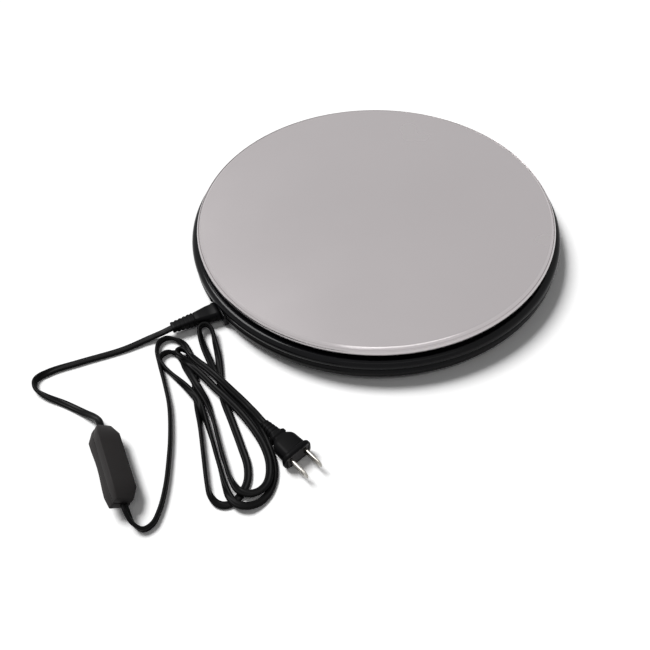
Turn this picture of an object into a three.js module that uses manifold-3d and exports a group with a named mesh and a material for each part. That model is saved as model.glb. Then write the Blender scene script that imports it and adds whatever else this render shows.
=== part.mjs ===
// Motorised turntable wheel: an aluminium platter driven by a flat gear motor inside a low, two-shell base,
// with a detachable two-pin connector, an inline switch, a folded hank of flat cord and a two-blade plug.
// Millimetres, +Z up. The origin is on the platter's axis, on the surface that the feet stand on.
import * as THREE from "three";
import { mergeVertices } from "three/addons/utils/BufferGeometryUtils.js";
import Module from "manifold-3d";

const wasm = await Module();
wasm.setup();

// ---- driving dimensions -------------------------------------------------------------------------------
const GAP = 0.3; // between touching pieces

const FOOT_HEIGHT = 3;
const FOOT_RADIUS = 8;
const FOOT_STUD_RADIUS = 2.5;
const FOOT_INSET = 18; // from the base's widest point
const FOOT_ANGLES = [50, 140, 230, 320];

const BASE_LIP = 5.6; // the top cover's widest point, past the platter
const PAN_INSET = 0.6; // the pan is this much smaller than the cover
const SHELL = 2.2; // wall of the pan and of the cover
const SEAM_HEIGHT = 13.3; // top of the pan
const DECK_HEIGHT = 22.5; // top face of the cover

const COVER_SCREW_INSET = 20; // from the base's widest point
const COVER_SCREW_ANGLES = [75, 165, 255, 345];
const COVER_SCREW_RADIUS = 1.3;
const COVER_SCREW_LENGTH = 9;
const PILLAR_RADIUS = 4.5;

const PLATTER_RADIUS = 152.4;
const PLATTER_RISE = 9.5; // top of the platter, above the deck
const PLATTER_SHEET = 2.5;
const PLATTER_RIM_DEPTH = 6;
const PLATTER_RIM_WALL = 3;

const DRIVE_DISC_RADIUS = 74;
const DRIVE_DISC_THICKNESS = 1.7;
const FRICTION_RADIUS = 63; // inner face of the friction rim
const FRICTION_WALL = 3;
const DRIVE_SCREW_CIRCLE = 70;
const DRIVE_SCREW_ANGLES = [0, 120, 240];
const DRIVE_SCREW_RADIUS = 1.2;

const SPINDLE_RADIUS = 6;
const CLIP_REACH = 2.4; // of the retaining clip, past the spindle
const CLIP_GROOVE = 1.6;
const SLEEVE_RADIUS = 9.5;
const SLEEVE_HEIGHT = 6; // of the pan's sleeve, above its floor
const RACE_INNER = 10;
const RACE_OUTER = 20;
const RACE_THICKNESS = 0.7;
const BALL_RADIUS = 1.2;
const BALL_CIRCLE = 15.5;
const BALL_COUNT = 10;
const CAGE_THICKNESS = 1.2;

const DRIVE_WHEEL_RADIUS = 9; // over its tyre
const TYRE_THICKNESS = 1.3;
const MOTOR_ANGLE = 60;
const MOTOR_RADIUS = 25;
const MOTOR_GEARBOX_HEIGHT = 3.7;
const MOTOR_SHAFT_RADIUS = 3;
const MOTOR_BOSS_RADIUS = 5;
const MOTOR_EAR = 5; // its screws, past the can
const MOTOR_SCREW_RADIUS = 1.2;

const ROLLER_INSET = 27.4; // from the platter's edge
const ROLLER_ANGLES = [15, 105, 195, 285];
const ROLLER_RADIUS = 4.2;
const ROLLER_WIDTH = 8;
const ROLLER_AXLE_RADIUS = 1.5;
const LUG_THICKNESS = 3;
const LUG_WIDTH = 8;

const INLET_ANGLE = 204; // the way that the connector leaves the base
const INLET_OFFSET = 21.3; // its axis, sideways from the platter's axis
const INLET_SETBACK = 3; // flat face of its boss, in from the base's widest point
const INLET_HEIGHT = 7.6; // height of its axis
const INLET_BOSS_WIDTH = 26;
const INLET_BOSS_DEPTH = 21;
const INLET_BOSS_FOOT = 1.6;
const INLET_WIDTH = 18.8;
const INLET_THICKNESS = 9.4;
const INLET_DEPTH = 19;
const SOCKET_WIDTH = 14.8;
const SOCKET_THICKNESS = 7.8;
const SOCKET_DEPTH = 11;
const INLET_PIN_RADIUS = 1.15;
const INLET_PIN_SPACING = 8.6;
const LEAD_RADIUS = 1.1;

const CONNECTOR_BODY_LENGTH = 20.7;
const CONNECTOR_RELIEF_LENGTH = 17.5;
const CORD_RADIUS = 2.3;

const SWITCH_CENTRE = [-199, -225];
const SWITCH_ANGLE = -68.5;
const SWITCH_ROLL = 40;
const SWITCH_LENGTH = 65;
const SWITCH_WIDTH = 18;
const SWITCH_THICKNESS = 14.5;
const SWITCH_TIP_WIDTH = 11;
const SWITCH_TAPER = 9;
const SWITCH_WALL = 1.6;
const SWITCH_DIP = 1.5;
const ROCKER_LENGTH = 17;
const ROCKER_WIDTH = 9.4;
const ROCKER_PIVOT_RADIUS = 1.3;
const ROCKER_PIVOT_HEIGHT = 3.2;
const ROCKER_TILT = 8;
const SWITCH_SCREW_PLACE = 19;

const PLUG_START = [-94.3, -194.1];
const PLUG_ANGLE = -49.5;
const PLUG_HEIGHT = 7.6;
const PLUG_RELIEF_LENGTH = 15;
const PLUG_LENGTH = 37.5;
const PLUG_FLANGE = 3.5;
const BLADE_SPACING = 12.7;
const BLADE_LENGTH = 17;
const BLADE_WIDTH = 6.3;
const BLADE_THICKNESS = 1.5;
const BLADE_ROOT = 6;

const HANK_HEIGHT = 8.5;
const LARGE_ROUND = 60; // segments of the large turned pieces
const MIDDLE_ROUND = 24;
const SMALL_ROUND = 16;
const TINY_ROUND = 10; // screws and their holes
const TUBE_SIDES = 8;

// ---- places and heights that follow -------------------------------------------------------------------
const BASE_RADIUS = PLATTER_RADIUS + BASE_LIP;
const FOOT_CIRCLE = BASE_RADIUS - FOOT_INSET;
const COVER_SCREW_CIRCLE = BASE_RADIUS - COVER_SCREW_INSET;
const ROLLER_CIRCLE = PLATTER_RADIUS - ROLLER_INSET;
const INLET_FACE = BASE_RADIUS - INLET_SETBACK;
const MOTOR_EAR_REACH = MOTOR_RADIUS + MOTOR_EAR;
const PLATTER_TOP = DECK_HEIGHT + PLATTER_RISE;
const FLOOR = FOOT_HEIGHT + SHELL;
const DECK_UNDER = DECK_HEIGHT - SHELL;
const PLATTER_UNDER = PLATTER_TOP - PLATTER_SHEET;
const DISC_TOP = PLATTER_UNDER - GAP;
const DISC_UNDER = DISC_TOP - DRIVE_DISC_THICKNESS;
const LOWER_RACE_FOOT = DECK_HEIGHT + GAP;
const BALL_HEIGHT = LOWER_RACE_FOOT + RACE_THICKNESS + GAP + BALL_RADIUS;
const UPPER_RACE_FOOT = BALL_HEIGHT + BALL_RADIUS + GAP;
const WHEEL_FOOT = DECK_HEIGHT + 0.5;
const WHEEL_TOP = DISC_UNDER - 0.5;
const WHEEL_CIRCLE = FRICTION_RADIUS - DRIVE_WHEEL_RADIUS - GAP;
const MOTOR_TOP = DECK_UNDER - GAP;
const ROLLER_HEIGHT = PLATTER_UNDER - GAP - ROLLER_RADIUS;

// ---- materials ----------------------------------------------------------------------------------------
const material = (color, roughness, metalness = 0) =>
  new THREE.MeshStandardMaterial({ color, roughness, metalness });
const glossBlack = material(0x0c0c0e, 0.16);
const satinBlack = material(0x141416, 0.38);
const cordBlack = material(0x101011, 0.42);
const switchBlack = material(0x272526, 0.5);
const rubber = material(0x151515, 0.85);
const aluminium = material(0xb4b2b3, 0.3, 1);
const steel = material(0xa9abad, 0.28, 1);
const zincSteel = material(0x8f9294, 0.4, 1);
const nickel = material(0xc6c4bd, 0.2, 1);
const whitePlastic = material(0xdcdad2, 0.5);
const leadBlue = material(0x2d4f86, 0.5);
const leadBrown = material(0x5b3a26, 0.5);

// ---- solids -------------------------------------------------------------------------------------------
const radians = THREE.MathUtils.degToRad;

function solid(geometry) {
  const bare = geometry.clone();
  bare.deleteAttribute("normal");
  bare.deleteAttribute("uv");
  const merged = mergeVertices(bare, 1e-4);
  const index = merged.index.array;
  const kept = [];
  for (let i = 0; i < index.length; i += 3) {
    const [a, b, c] = [index[i], index[i + 1], index[i + 2]];
    if (a !== b && b !== c && c !== a) kept.push(a, b, c);
  }
  return new wasm.Manifold(
    new wasm.Mesh({
      numProp: 3,
      vertProperties: merged.attributes.position.array,
      triVerts: new Uint32Array(kept),
    }),
  );
}

function geometryOf(manifold) {
  const mesh = manifold.getMesh();
  const geometry = new THREE.BufferGeometry();
  geometry.setAttribute("position", new THREE.BufferAttribute(mesh.vertProperties.slice(), 3));
  geometry.setIndex(new THREE.BufferAttribute(mesh.triVerts.slice(), 1));
  geometry.computeVertexNormals();
  return geometry;
}

const joined = (first, ...others) =>
  geometryOf(others.reduce((whole, other) => whole.add(solid(other)), solid(first)));
const cut = (first, ...others) =>
  geometryOf(others.reduce((whole, other) => whole.subtract(solid(other)), solid(first)));
const common = (first, second) => geometryOf(solid(first).intersect(solid(second)));

// Turned about Z: a closed outline of [radius, height] points.
function turned(outline, segments = SMALL_ROUND) {
  let area = 0;
  outline.forEach(([r, z], i) => {
    const [nextR, nextZ] = outline[(i + 1) % outline.length];
    area += r * nextZ - nextR * z;
  });
  const points = (area < 0 ? [...outline].reverse() : [...outline]).map(
    ([r, z]) => new THREE.Vector2(r, z),
  );
  const first = points[0];
  const last = points[points.length - 1];
  if (first.x > 0 || last.x > 0) points.push(first.clone());
  return new THREE.LatheGeometry(points, segments).rotateX(Math.PI / 2);
}

const ring = (inner, outer, foot, top, segments = SMALL_ROUND) =>
  turned([[inner, foot], [outer, foot], [outer, top], [inner, top]], segments);
const post = (radius, foot, top, segments = SMALL_ROUND) =>
  new THREE.CylinderGeometry(radius, radius, top - foot, segments)
    .rotateX(Math.PI / 2)
    .translate(0, 0, (foot + top) / 2);
const block = (x, y, z) =>
  new THREE.BoxGeometry(x[1] - x[0], y[1] - y[0], z[1] - z[0]).translate(
    (x[0] + x[1]) / 2,
    (y[0] + y[1]) / 2,
    (z[0] + z[1]) / 2,
  );

const atAngle = (geometry, radius, degrees) =>
  geometry.clone().translate(radius, 0, 0).rotateZ(radians(degrees));

// A flat outline of [x, y] points, raised from foot to top.
function raised(outline, foot, top) {
  const shape = new THREE.Shape(outline.map(([x, y]) => new THREE.Vector2(x, y)));
  return new THREE.ExtrudeGeometry(shape, { depth: top - foot, bevelEnabled: false }).translate(
    0,
    0,
    foot,
  );
}

// A rod along X with half widths and half heights given at stations: [x, half width, half height].
function tapered(stations) {
  const outline = (side) => [
    ...stations.map((s) => [s[0], -s[side]]),
    ...[...stations].reverse().map((s) => [s[0], s[side]]),
  ];
  const widest = Math.max(...stations.map((s) => s[1])) + 1;
  const tallest = Math.max(...stations.map((s) => s[2])) + 1;
  const plan = raised(outline(1), -tallest, tallest);
  const side = raised(outline(2), -widest, widest).rotateX(Math.PI / 2);
  return common(plan, side);
}

// A tube along hand-chosen points.
function tube(points, radius, steps) {
  const path = new THREE.CatmullRomCurve3(
    points.map((p) => new THREE.Vector3(...p)),
    false,
    "centripetal",
  );
  const section = new THREE.Shape();
  for (let i = 0; i < TUBE_SIDES; i += 1) {
    const turn = ((i + 0.5) * 2 * Math.PI) / TUBE_SIDES;
    const [x, y] = [radius * Math.cos(turn), radius * Math.sin(turn)];
    if (i === 0) section.moveTo(x, y);
    else section.lineTo(x, y);
  }
  section.closePath();
  return new THREE.ExtrudeGeometry(section, { steps, extrudePath: path, bevelEnabled: false });
}

// Rounded bar across X: a stadium section in Y and Z, from one x to another.
function stadiumBar(width, thickness, from, to) {
  const half = (width - thickness) / 2;
  const shape = new THREE.Shape();
  shape.absarc(half, 0, thickness / 2, -Math.PI / 2, Math.PI / 2, false);
  shape.absarc(-half, 0, thickness / 2, Math.PI / 2, (3 * Math.PI) / 2, false);
  return new THREE.ExtrudeGeometry(shape, {
    depth: to - from,
    bevelEnabled: false,
    curveSegments: 6,
  })
    .rotateX(Math.PI / 2)
    .rotateZ(Math.PI / 2)
    .translate(from, 0, 0);
}

const rodX = (radius, from, to, segments = TINY_ROUND) =>
  post(radius, from, to, segments).rotateY(Math.PI / 2);

// ---- assembly helpers ---------------------------------------------------------------------------------
const turntable = new THREE.Group();
function piece(name, geometry, look, holder = turntable) {
  const mesh = new THREE.Mesh(geometry, look);
  mesh.name = name;
  holder.add(mesh);
  return mesh;
}

function screw(shankRadius, headRadius, headFoot, headTop, shankTop) {
  return turned(
    [
      [0, headFoot],
      [headRadius * 0.8, headFoot],
      [headRadius, headFoot + 0.5],
      [headRadius, headTop],
      [shankRadius, headTop],
      [shankRadius, shankTop],
      [0, shankTop],
    ],
    TINY_ROUND,
  );
}

// A frame with X along the connector, out of the base, and its origin on the platter's axis.
const inletFrame = new THREE.Group();
inletFrame.rotation.z = radians(INLET_ANGLE);
turntable.add(inletFrame);
const inletPlaced = (geometry) => geometry.clone().rotateZ(radians(INLET_ANGLE));

// ---- lower shell --------------------------------------------------------------------------------------
const panRadius = BASE_RADIUS - PAN_INSET;
const panOutline = [
  [0, FOOT_HEIGHT],
  [panRadius - 6.4, FOOT_HEIGHT],
  [panRadius - 3, FOOT_HEIGHT + 1.1],
  [panRadius - 0.9, FOOT_HEIGHT + 3.4],
  [panRadius, FOOT_HEIGHT + 6.4],
  [panRadius - 0.5, SEAM_HEIGHT - 1.6],
  [panRadius - 1.8, SEAM_HEIGHT],
  [panRadius - 1.8 - SHELL, SEAM_HEIGHT],
  [panRadius - 0.5 - SHELL, SEAM_HEIGHT - 1.9],
  [panRadius - SHELL, FOOT_HEIGHT + 6.4],
  [panRadius - 1.4 - SHELL, FLOOR + 1.6],
  [panRadius - 4.6 - SHELL, FLOOR],
  [0, FLOOR],
];
const spindleSleeve = ring(SPINDLE_RADIUS + GAP, SLEEVE_RADIUS, FLOOR - 0.5, FLOOR + SLEEVE_HEIGHT);
const bossSide = [INLET_OFFSET - INLET_BOSS_WIDTH / 2, INLET_OFFSET + INLET_BOSS_WIDTH / 2];
const boss = block([INLET_FACE - INLET_BOSS_DEPTH, INLET_FACE], bossSide, [INLET_BOSS_FOOT, SEAM_HEIGHT]);
const flatTrim = block([INLET_FACE, BASE_RADIUS + 10], bossSide, [0, SEAM_HEIGHT + 1]);
const windowHalf = [INLET_WIDTH / 2 + GAP, INLET_THICKNESS / 2 + GAP];
const inletWindow = block(
  [INLET_FACE - INLET_BOSS_DEPTH - 0.5, INLET_FACE + 1],
  [INLET_OFFSET - windowHalf[0], INLET_OFFSET + windowHalf[0]],
  [INLET_HEIGHT - windowHalf[1], INLET_HEIGHT + windowHalf[1]],
);
const screwHole = post(COVER_SCREW_RADIUS + GAP, FOOT_HEIGHT - 1, FLOOR + 1, TINY_ROUND);
const footHole = post(FOOT_STUD_RADIUS + GAP, FOOT_HEIGHT - 1, FLOOR + 1);
const basePan = cut(
  joined(turned(panOutline, LARGE_ROUND), spindleSleeve, inletPlaced(boss)),
  inletPlaced(flatTrim),
  inletPlaced(inletWindow),
  ...COVER_SCREW_ANGLES.map((a) => atAngle(screwHole, COVER_SCREW_CIRCLE, a)),
  ...FOOT_ANGLES.map((a) => atAngle(footHole, FOOT_CIRCLE, a)),
);
piece("base_pan", basePan, glossBlack);

// ---- feet and the screws that hold the shells together ------------------------------------------------
const foot = turned([
  [0, 0],
  [FOOT_RADIUS - 1, 0],
  [FOOT_RADIUS, 1],
  [FOOT_RADIUS, FOOT_HEIGHT - GAP],
  [FOOT_STUD_RADIUS, FOOT_HEIGHT - GAP],
  [FOOT_STUD_RADIUS, FLOOR - GAP],
  [0, FLOOR - GAP],
]);
FOOT_ANGLES.forEach((a, i) => piece(`foot_${i + 1}`, atAngle(foot, FOOT_CIRCLE, a), rubber));
const coverScrew = screw(COVER_SCREW_RADIUS, 3.2, 0.9, FOOT_HEIGHT - GAP, FOOT_HEIGHT + COVER_SCREW_LENGTH);
COVER_SCREW_ANGLES.forEach((a, i) =>
  piece(`cover_screw_${i + 1}`, atAngle(coverScrew, COVER_SCREW_CIRCLE, a), zincSteel),
);

// ---- upper shell --------------------------------------------------------------------------------------
const coverFoot = SEAM_HEIGHT + GAP;
const coverOutline = [
  [0, DECK_UNDER],
  [BASE_RADIUS - 8, DECK_UNDER],
  [BASE_RADIUS - 4.4, DECK_UNDER - 1.2],
  [BASE_RADIUS - SHELL - 0.6, DECK_UNDER - 3.4],
  [BASE_RADIUS - SHELL - 2.4, coverFoot],
  [BASE_RADIUS - 2.4, coverFoot],
  [BASE_RADIUS - 1.9, coverFoot + 0.9],
  [BASE_RADIUS - 0.3, coverFoot + 2.6],
  [BASE_RADIUS, coverFoot + 4.6],
  [BASE_RADIUS - 0.5, coverFoot + 6.4],
  [BASE_RADIUS - 1.8, coverFoot + 8],
  [BASE_RADIUS - 4, DECK_HEIGHT],
  [0, DECK_HEIGHT],
];
const deckHole = (radius, segments) => post(radius, DECK_UNDER - 1, DECK_HEIGHT + 1, segments);
const pillar = ring(COVER_SCREW_RADIUS + GAP, PILLAR_RADIUS, FLOOR + GAP, DECK_UNDER + 0.5, TINY_ROUND);
const lugSpan = ROLLER_WIDTH / 2 + 0.8;
const lugBlock = (side) =>
  block(
    side > 0 ? [lugSpan, lugSpan + LUG_THICKNESS] : [-lugSpan - LUG_THICKNESS, -lugSpan],
    [-LUG_WIDTH / 2, LUG_WIDTH / 2],
    [DECK_HEIGHT - 0.5, ROLLER_HEIGHT + 2.6],
  );
const lugHole = rodX(ROLLER_AXLE_RADIUS + GAP, -12, 12).translate(0, 0, ROLLER_HEIGHT);
const rollerSlot = block(
  [-lugSpan, lugSpan],
  [-ROLLER_RADIUS - 0.8, ROLLER_RADIUS + 0.8],
  [DECK_UNDER - 1, DECK_HEIGHT + 1],
);
const motorPlaced = (geometry) => atAngle(geometry, WHEEL_CIRCLE, MOTOR_ANGLE);
const motorScrewHole = (side, foot, top) =>
  post(MOTOR_SCREW_RADIUS + GAP, foot, top, TINY_ROUND).translate(0, side * MOTOR_EAR_REACH, 0);
const topCover = cut(
  joined(
    turned(coverOutline, LARGE_ROUND),
    ...COVER_SCREW_ANGLES.map((a) => atAngle(pillar, COVER_SCREW_CIRCLE, a)),
    ...ROLLER_ANGLES.flatMap((a) => [-1, 1].map((side) => atAngle(lugBlock(side), ROLLER_CIRCLE, a))),
  ),
  ...ROLLER_ANGLES.flatMap((a) => [
    atAngle(lugHole, ROLLER_CIRCLE, a),
    atAngle(rollerSlot, ROLLER_CIRCLE, a),
  ]),
  deckHole(SPINDLE_RADIUS + GAP),
  motorPlaced(deckHole(MOTOR_BOSS_RADIUS + GAP)),
  motorPlaced(motorScrewHole(-1, DECK_UNDER - 1, DECK_HEIGHT + 1)),
  motorPlaced(motorScrewHole(1, DECK_UNDER - 1, DECK_HEIGHT + 1)),
);
piece("top_cover", topCover, glossBlack);

// ---- support rollers ----------------------------------------------------------------------------------
const roller = turned([
  [ROLLER_AXLE_RADIUS + GAP, -ROLLER_WIDTH / 2],
  [ROLLER_RADIUS - 0.5, -ROLLER_WIDTH / 2],
  [ROLLER_RADIUS, -ROLLER_WIDTH / 2 + 0.6],
  [ROLLER_RADIUS, ROLLER_WIDTH / 2 - 0.6],
  [ROLLER_RADIUS - 0.5, ROLLER_WIDTH / 2],
  [ROLLER_AXLE_RADIUS + GAP, ROLLER_WIDTH / 2],
])
  .rotateY(Math.PI / 2)
  .translate(0, 0, ROLLER_HEIGHT);
const axleHalf = lugSpan + LUG_THICKNESS + 0.5;
const rollerAxle = rodX(ROLLER_AXLE_RADIUS, -axleHalf, axleHalf).translate(0, 0, ROLLER_HEIGHT);
ROLLER_ANGLES.forEach((a, i) => {
  piece(`roller_${i + 1}`, atAngle(roller, ROLLER_CIRCLE, a), rubber);
  piece(`roller_axle_${i + 1}`, atAngle(rollerAxle, ROLLER_CIRCLE, a), steel);
});

// ---- spindle and thrust bearing -----------------------------------------------------------------------
const clipFoot = DISC_TOP - 1;
const clipInner = SPINDLE_RADIUS - CLIP_GROOVE + GAP;
const spindle = turned([
  [0, FLOOR + GAP],
  [SPINDLE_RADIUS, FLOOR + GAP],
  [SPINDLE_RADIUS, clipFoot - GAP],
  [SPINDLE_RADIUS - CLIP_GROOVE, clipFoot - GAP],
  [SPINDLE_RADIUS - CLIP_GROOVE, DISC_TOP - 0.1],
  [0, DISC_TOP - 0.1],
]);
piece("spindle", spindle, steel);
piece("spindle_clip", ring(clipInner, SPINDLE_RADIUS + CLIP_REACH, clipFoot, DISC_TOP - GAP), zincSteel);
piece(
  "lower_race",
  ring(RACE_INNER, RACE_OUTER, LOWER_RACE_FOOT, LOWER_RACE_FOOT + RACE_THICKNESS, MIDDLE_ROUND),
  steel,
);
piece(
  "upper_race",
  ring(RACE_INNER, RACE_OUTER, UPPER_RACE_FOOT, UPPER_RACE_FOOT + RACE_THICKNESS, MIDDLE_ROUND),
  steel,
);
const ball = new THREE.SphereGeometry(BALL_RADIUS, 6, 4).rotateX(Math.PI / 2).translate(0, 0, BALL_HEIGHT);
const cageFoot = BALL_HEIGHT - CAGE_THICKNESS / 2;
const ballAngles = Array.from({ length: BALL_COUNT }, (_, i) => (360 * i) / BALL_COUNT);
const ballCage = joined(
  ring(BALL_CIRCLE - 3, BALL_CIRCLE + 3, cageFoot, cageFoot + CAGE_THICKNESS, MIDDLE_ROUND),
  ...ballAngles.map((a) => atAngle(ball, BALL_CIRCLE, a)),
);
piece("ball_cage", ballCage, nickel);

// ---- platter and the disc that drives it --------------------------------------------------------------
const rimFoot = PLATTER_TOP - PLATTER_RIM_DEPTH;
const rimInner = PLATTER_RADIUS - PLATTER_RIM_WALL;
const platterOutline = [
  [0, PLATTER_UNDER],
  [rimInner, PLATTER_UNDER],
  [rimInner, rimFoot + 0.4],
  [rimInner + 0.4, rimFoot],
  [PLATTER_RADIUS - 0.6, rimFoot],
  [PLATTER_RADIUS, rimFoot + 0.6],
  [PLATTER_RADIUS, PLATTER_TOP - 2.1],
  [PLATTER_RADIUS - 0.3, PLATTER_TOP - 1.05],
  [PLATTER_RADIUS - 1, PLATTER_TOP - 0.3],
  [PLATTER_RADIUS - 2.1, PLATTER_TOP],
  [0, PLATTER_TOP],
];
const screwReach = PLATTER_UNDER + 1.4;
const blindHole = post(DRIVE_SCREW_RADIUS + GAP, DISC_UNDER - 1, screwReach + GAP, TINY_ROUND);
const platter = cut(
  turned(platterOutline, LARGE_ROUND),
  ...DRIVE_SCREW_ANGLES.map((a) => atAngle(blindHole, DRIVE_SCREW_CIRCLE, a)),
);
piece("platter", platter, aluminium);

const rimTurn = WHEEL_FOOT + 0.4;
const driveDiscOutline = [
  [0, DISC_UNDER],
  [FRICTION_RADIUS, DISC_UNDER],
  [FRICTION_RADIUS, rimTurn],
  [FRICTION_RADIUS + FRICTION_WALL, rimTurn],
  [FRICTION_RADIUS + FRICTION_WALL, DISC_UNDER],
  [DRIVE_DISC_RADIUS, DISC_UNDER],
  [DRIVE_DISC_RADIUS, DISC_TOP],
  [0, DISC_TOP],
];
const driveDisc = cut(
  joined(
    turned(driveDiscOutline, LARGE_ROUND),
    post(SLEEVE_RADIUS, LOWER_RACE_FOOT + 0.4, DISC_UNDER + 0.5),
  ),
  post(SPINDLE_RADIUS + GAP, LOWER_RACE_FOOT, DISC_TOP + 1),
  post(SPINDLE_RADIUS + CLIP_REACH + GAP, clipFoot - GAP, DISC_TOP + 1),
  ...DRIVE_SCREW_ANGLES.map((a) => atAngle(blindHole, DRIVE_SCREW_CIRCLE, a)),
);
piece("drive_disc", driveDisc, whitePlastic);
const driveScrew = screw(DRIVE_SCREW_RADIUS, 2.6, DISC_UNDER - 2, DISC_UNDER - GAP, screwReach);
DRIVE_SCREW_ANGLES.forEach((a, i) =>
  piece(`drive_screw_${i + 1}`, atAngle(driveScrew, DRIVE_SCREW_CIRCLE, a), zincSteel),
);

// ---- motor, its wheel and its screws ------------------------------------------------------------------
const gearboxFoot = MOTOR_TOP - MOTOR_GEARBOX_HEIGHT;
const motorCan = turned(
  [
    [0, FLOOR + GAP],
    [MOTOR_RADIUS - 1.2, FLOOR + GAP],
    [MOTOR_RADIUS, FLOOR + GAP + 1.2],
    [MOTOR_RADIUS, gearboxFoot - GAP],
    [0, gearboxFoot - GAP],
  ],
  MIDDLE_ROUND,
);
piece("motor_can", motorPlaced(motorCan), zincSteel);
const bossTop = DECK_HEIGHT - 0.5;
const earFoot = MOTOR_TOP - 1.7;
const ears = block(
  [-MOTOR_BOSS_RADIUS, MOTOR_BOSS_RADIUS],
  [-MOTOR_EAR_REACH - 4, MOTOR_EAR_REACH + 4],
  [earFoot, MOTOR_TOP],
);
const motorGearbox = cut(
  joined(
    post(MOTOR_RADIUS, gearboxFoot, MOTOR_TOP, MIDDLE_ROUND),
    post(MOTOR_BOSS_RADIUS, MOTOR_TOP - 1, bossTop),
    ears,
  ),
  post(MOTOR_SHAFT_RADIUS + GAP, gearboxFoot + 0.8, DECK_HEIGHT + 1),
  motorScrewHole(-1, earFoot - 1, MOTOR_TOP + 1),
  motorScrewHole(1, earFoot - 1, MOTOR_TOP + 1),
);
piece("motor_gearbox", motorPlaced(motorGearbox), zincSteel);
const motorScrew = screw(MOTOR_SCREW_RADIUS, 2.6, earFoot - GAP - 1.6, earFoot - GAP, DECK_HEIGHT - GAP);
[-1, 1].forEach((side, i) =>
  piece(
    `motor_screw_${i + 1}`,
    motorPlaced(motorScrew.clone().translate(0, side * MOTOR_EAR_REACH, 0)),
    zincSteel,
  ),
);
piece(
  "motor_shaft",
  motorPlaced(post(MOTOR_SHAFT_RADIUS, gearboxFoot + 0.8 + GAP, WHEEL_TOP)),
  steel,
);
const wheelHubRadius = DRIVE_WHEEL_RADIUS - TYRE_THICKNESS - GAP;
piece(
  "drive_wheel",
  motorPlaced(ring(MOTOR_SHAFT_RADIUS + GAP, wheelHubRadius, WHEEL_FOOT, WHEEL_TOP, MIDDLE_ROUND)),
  whitePlastic,
);
piece(
  "drive_tyre",
  motorPlaced(
    ring(
      DRIVE_WHEEL_RADIUS - TYRE_THICKNESS,
      DRIVE_WHEEL_RADIUS,
      WHEEL_FOOT + 0.3,
      WHEEL_TOP - 0.3,
      MIDDLE_ROUND,
    ),
  ),
  rubber,
);

// ---- appliance inlet and its leads --------------------------------------------------------------------
const inletAt = (geometry) => geometry.translate(0, INLET_OFFSET, INLET_HEIGHT);
const socketFloor = INLET_FACE - SOCKET_DEPTH;
const pinSides = [-INLET_PIN_SPACING / 2, INLET_PIN_SPACING / 2];
const pinTail = INLET_FACE - INLET_DEPTH - 5;
const pinTip = INLET_FACE - 2.5;
const inletBody = cut(
  block(
    [INLET_FACE - INLET_DEPTH, INLET_FACE],
    [-INLET_WIDTH / 2, INLET_WIDTH / 2],
    [-INLET_THICKNESS / 2, INLET_THICKNESS / 2],
  ),
  stadiumBar(SOCKET_WIDTH, SOCKET_THICKNESS, socketFloor, INLET_FACE + 1),
  ...pinSides.map((side) =>
    rodX(INLET_PIN_RADIUS + GAP, INLET_FACE - INLET_DEPTH - 1, INLET_FACE).translate(0, side, 0),
  ),
);
piece("inlet_body", inletAt(inletBody), satinBlack, inletFrame);
pinSides.forEach((side, i) =>
  piece(
    `inlet_pin_${i + 1}`,
    inletAt(rodX(INLET_PIN_RADIUS, pinTail, pinTip).translate(0, side, 0)),
    nickel,
    inletFrame,
  ),
);

const motorCentre = new THREE.Vector2(WHEEL_CIRCLE, 0).rotateAround(
  new THREE.Vector2(),
  radians(MOTOR_ANGLE),
);
const leadHeight = FLOOR + GAP + LEAD_RADIUS;
function leadPath(side, bend, motorSide) {
  const start = new THREE.Vector2(pinTail - GAP, INLET_OFFSET + side).rotateAround(
    new THREE.Vector2(),
    radians(INLET_ANGLE),
  );
  const inward = new THREE.Vector2(pinTail - 10, INLET_OFFSET + side).rotateAround(
    new THREE.Vector2(),
    radians(INLET_ANGLE),
  );
  const end = motorCentre
    .clone()
    .add(
      new THREE.Vector2(MOTOR_RADIUS + GAP, 0).rotateAround(new THREE.Vector2(), radians(motorSide)),
    );
  const before = motorCentre
    .clone()
    .add(new THREE.Vector2(MOTOR_RADIUS + 8, 0).rotateAround(new THREE.Vector2(), radians(motorSide)));
  return [
    [start.x, start.y, INLET_HEIGHT],
    [inward.x, inward.y, leadHeight],
    [bend[0], bend[1], leadHeight],
    [before.x, before.y, leadHeight + 1],
    [end.x, end.y, leadHeight + 2],
  ];
}
piece("motor_lead_1", tube(leadPath(pinSides[0], [-64, -8], 190), LEAD_RADIUS, 9), leadBlue);
piece("motor_lead_2", tube(leadPath(pinSides[1], [-58, -20], 206), LEAD_RADIUS, 9), leadBrown);

// ---- connector ----------------------------------------------------------------------------------------
const grooves = (from, to, count, width, reach) =>
  Array.from({ length: count }, (_, i) => {
    const middle = from + ((i + 0.5) * (to - from)) / count;
    return cut(
      block([middle - width / 2, middle + width / 2], [-20, 20], [-20, 20]),
      block([middle - width, middle + width], [-reach[0], reach[0]], [-reach[1], reach[1]]),
    );
  });
const noseTip = socketFloor + 0.4;
const bodyFoot = INLET_FACE + GAP;
const bodyEnd = INLET_FACE + CONNECTOR_BODY_LENGTH;
const connectorBody = cut(
  joined(
    stadiumBar(SOCKET_WIDTH - 2 * GAP, SOCKET_THICKNESS - 2 * GAP, noseTip, bodyFoot + 1),
    tapered([
      [bodyFoot, 7.7, 4.4],
      [bodyFoot + 1.2, 8.2, 4.7],
      [bodyFoot + 9, 7.6, 4.7],
      [bodyEnd - 3, 5.8, 4.3],
      [bodyEnd, 5.2, 3.9],
    ]),
  ),
  ...pinSides.map((side) => rodX(INLET_PIN_RADIUS + GAP, noseTip - 1, pinTip + 0.7).translate(0, side, 0)),
);
piece("connector_body", inletAt(connectorBody), satinBlack, inletFrame);
const reliefFoot = bodyEnd + GAP;
const reliefEnd = bodyEnd + CONNECTOR_RELIEF_LENGTH;
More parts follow.
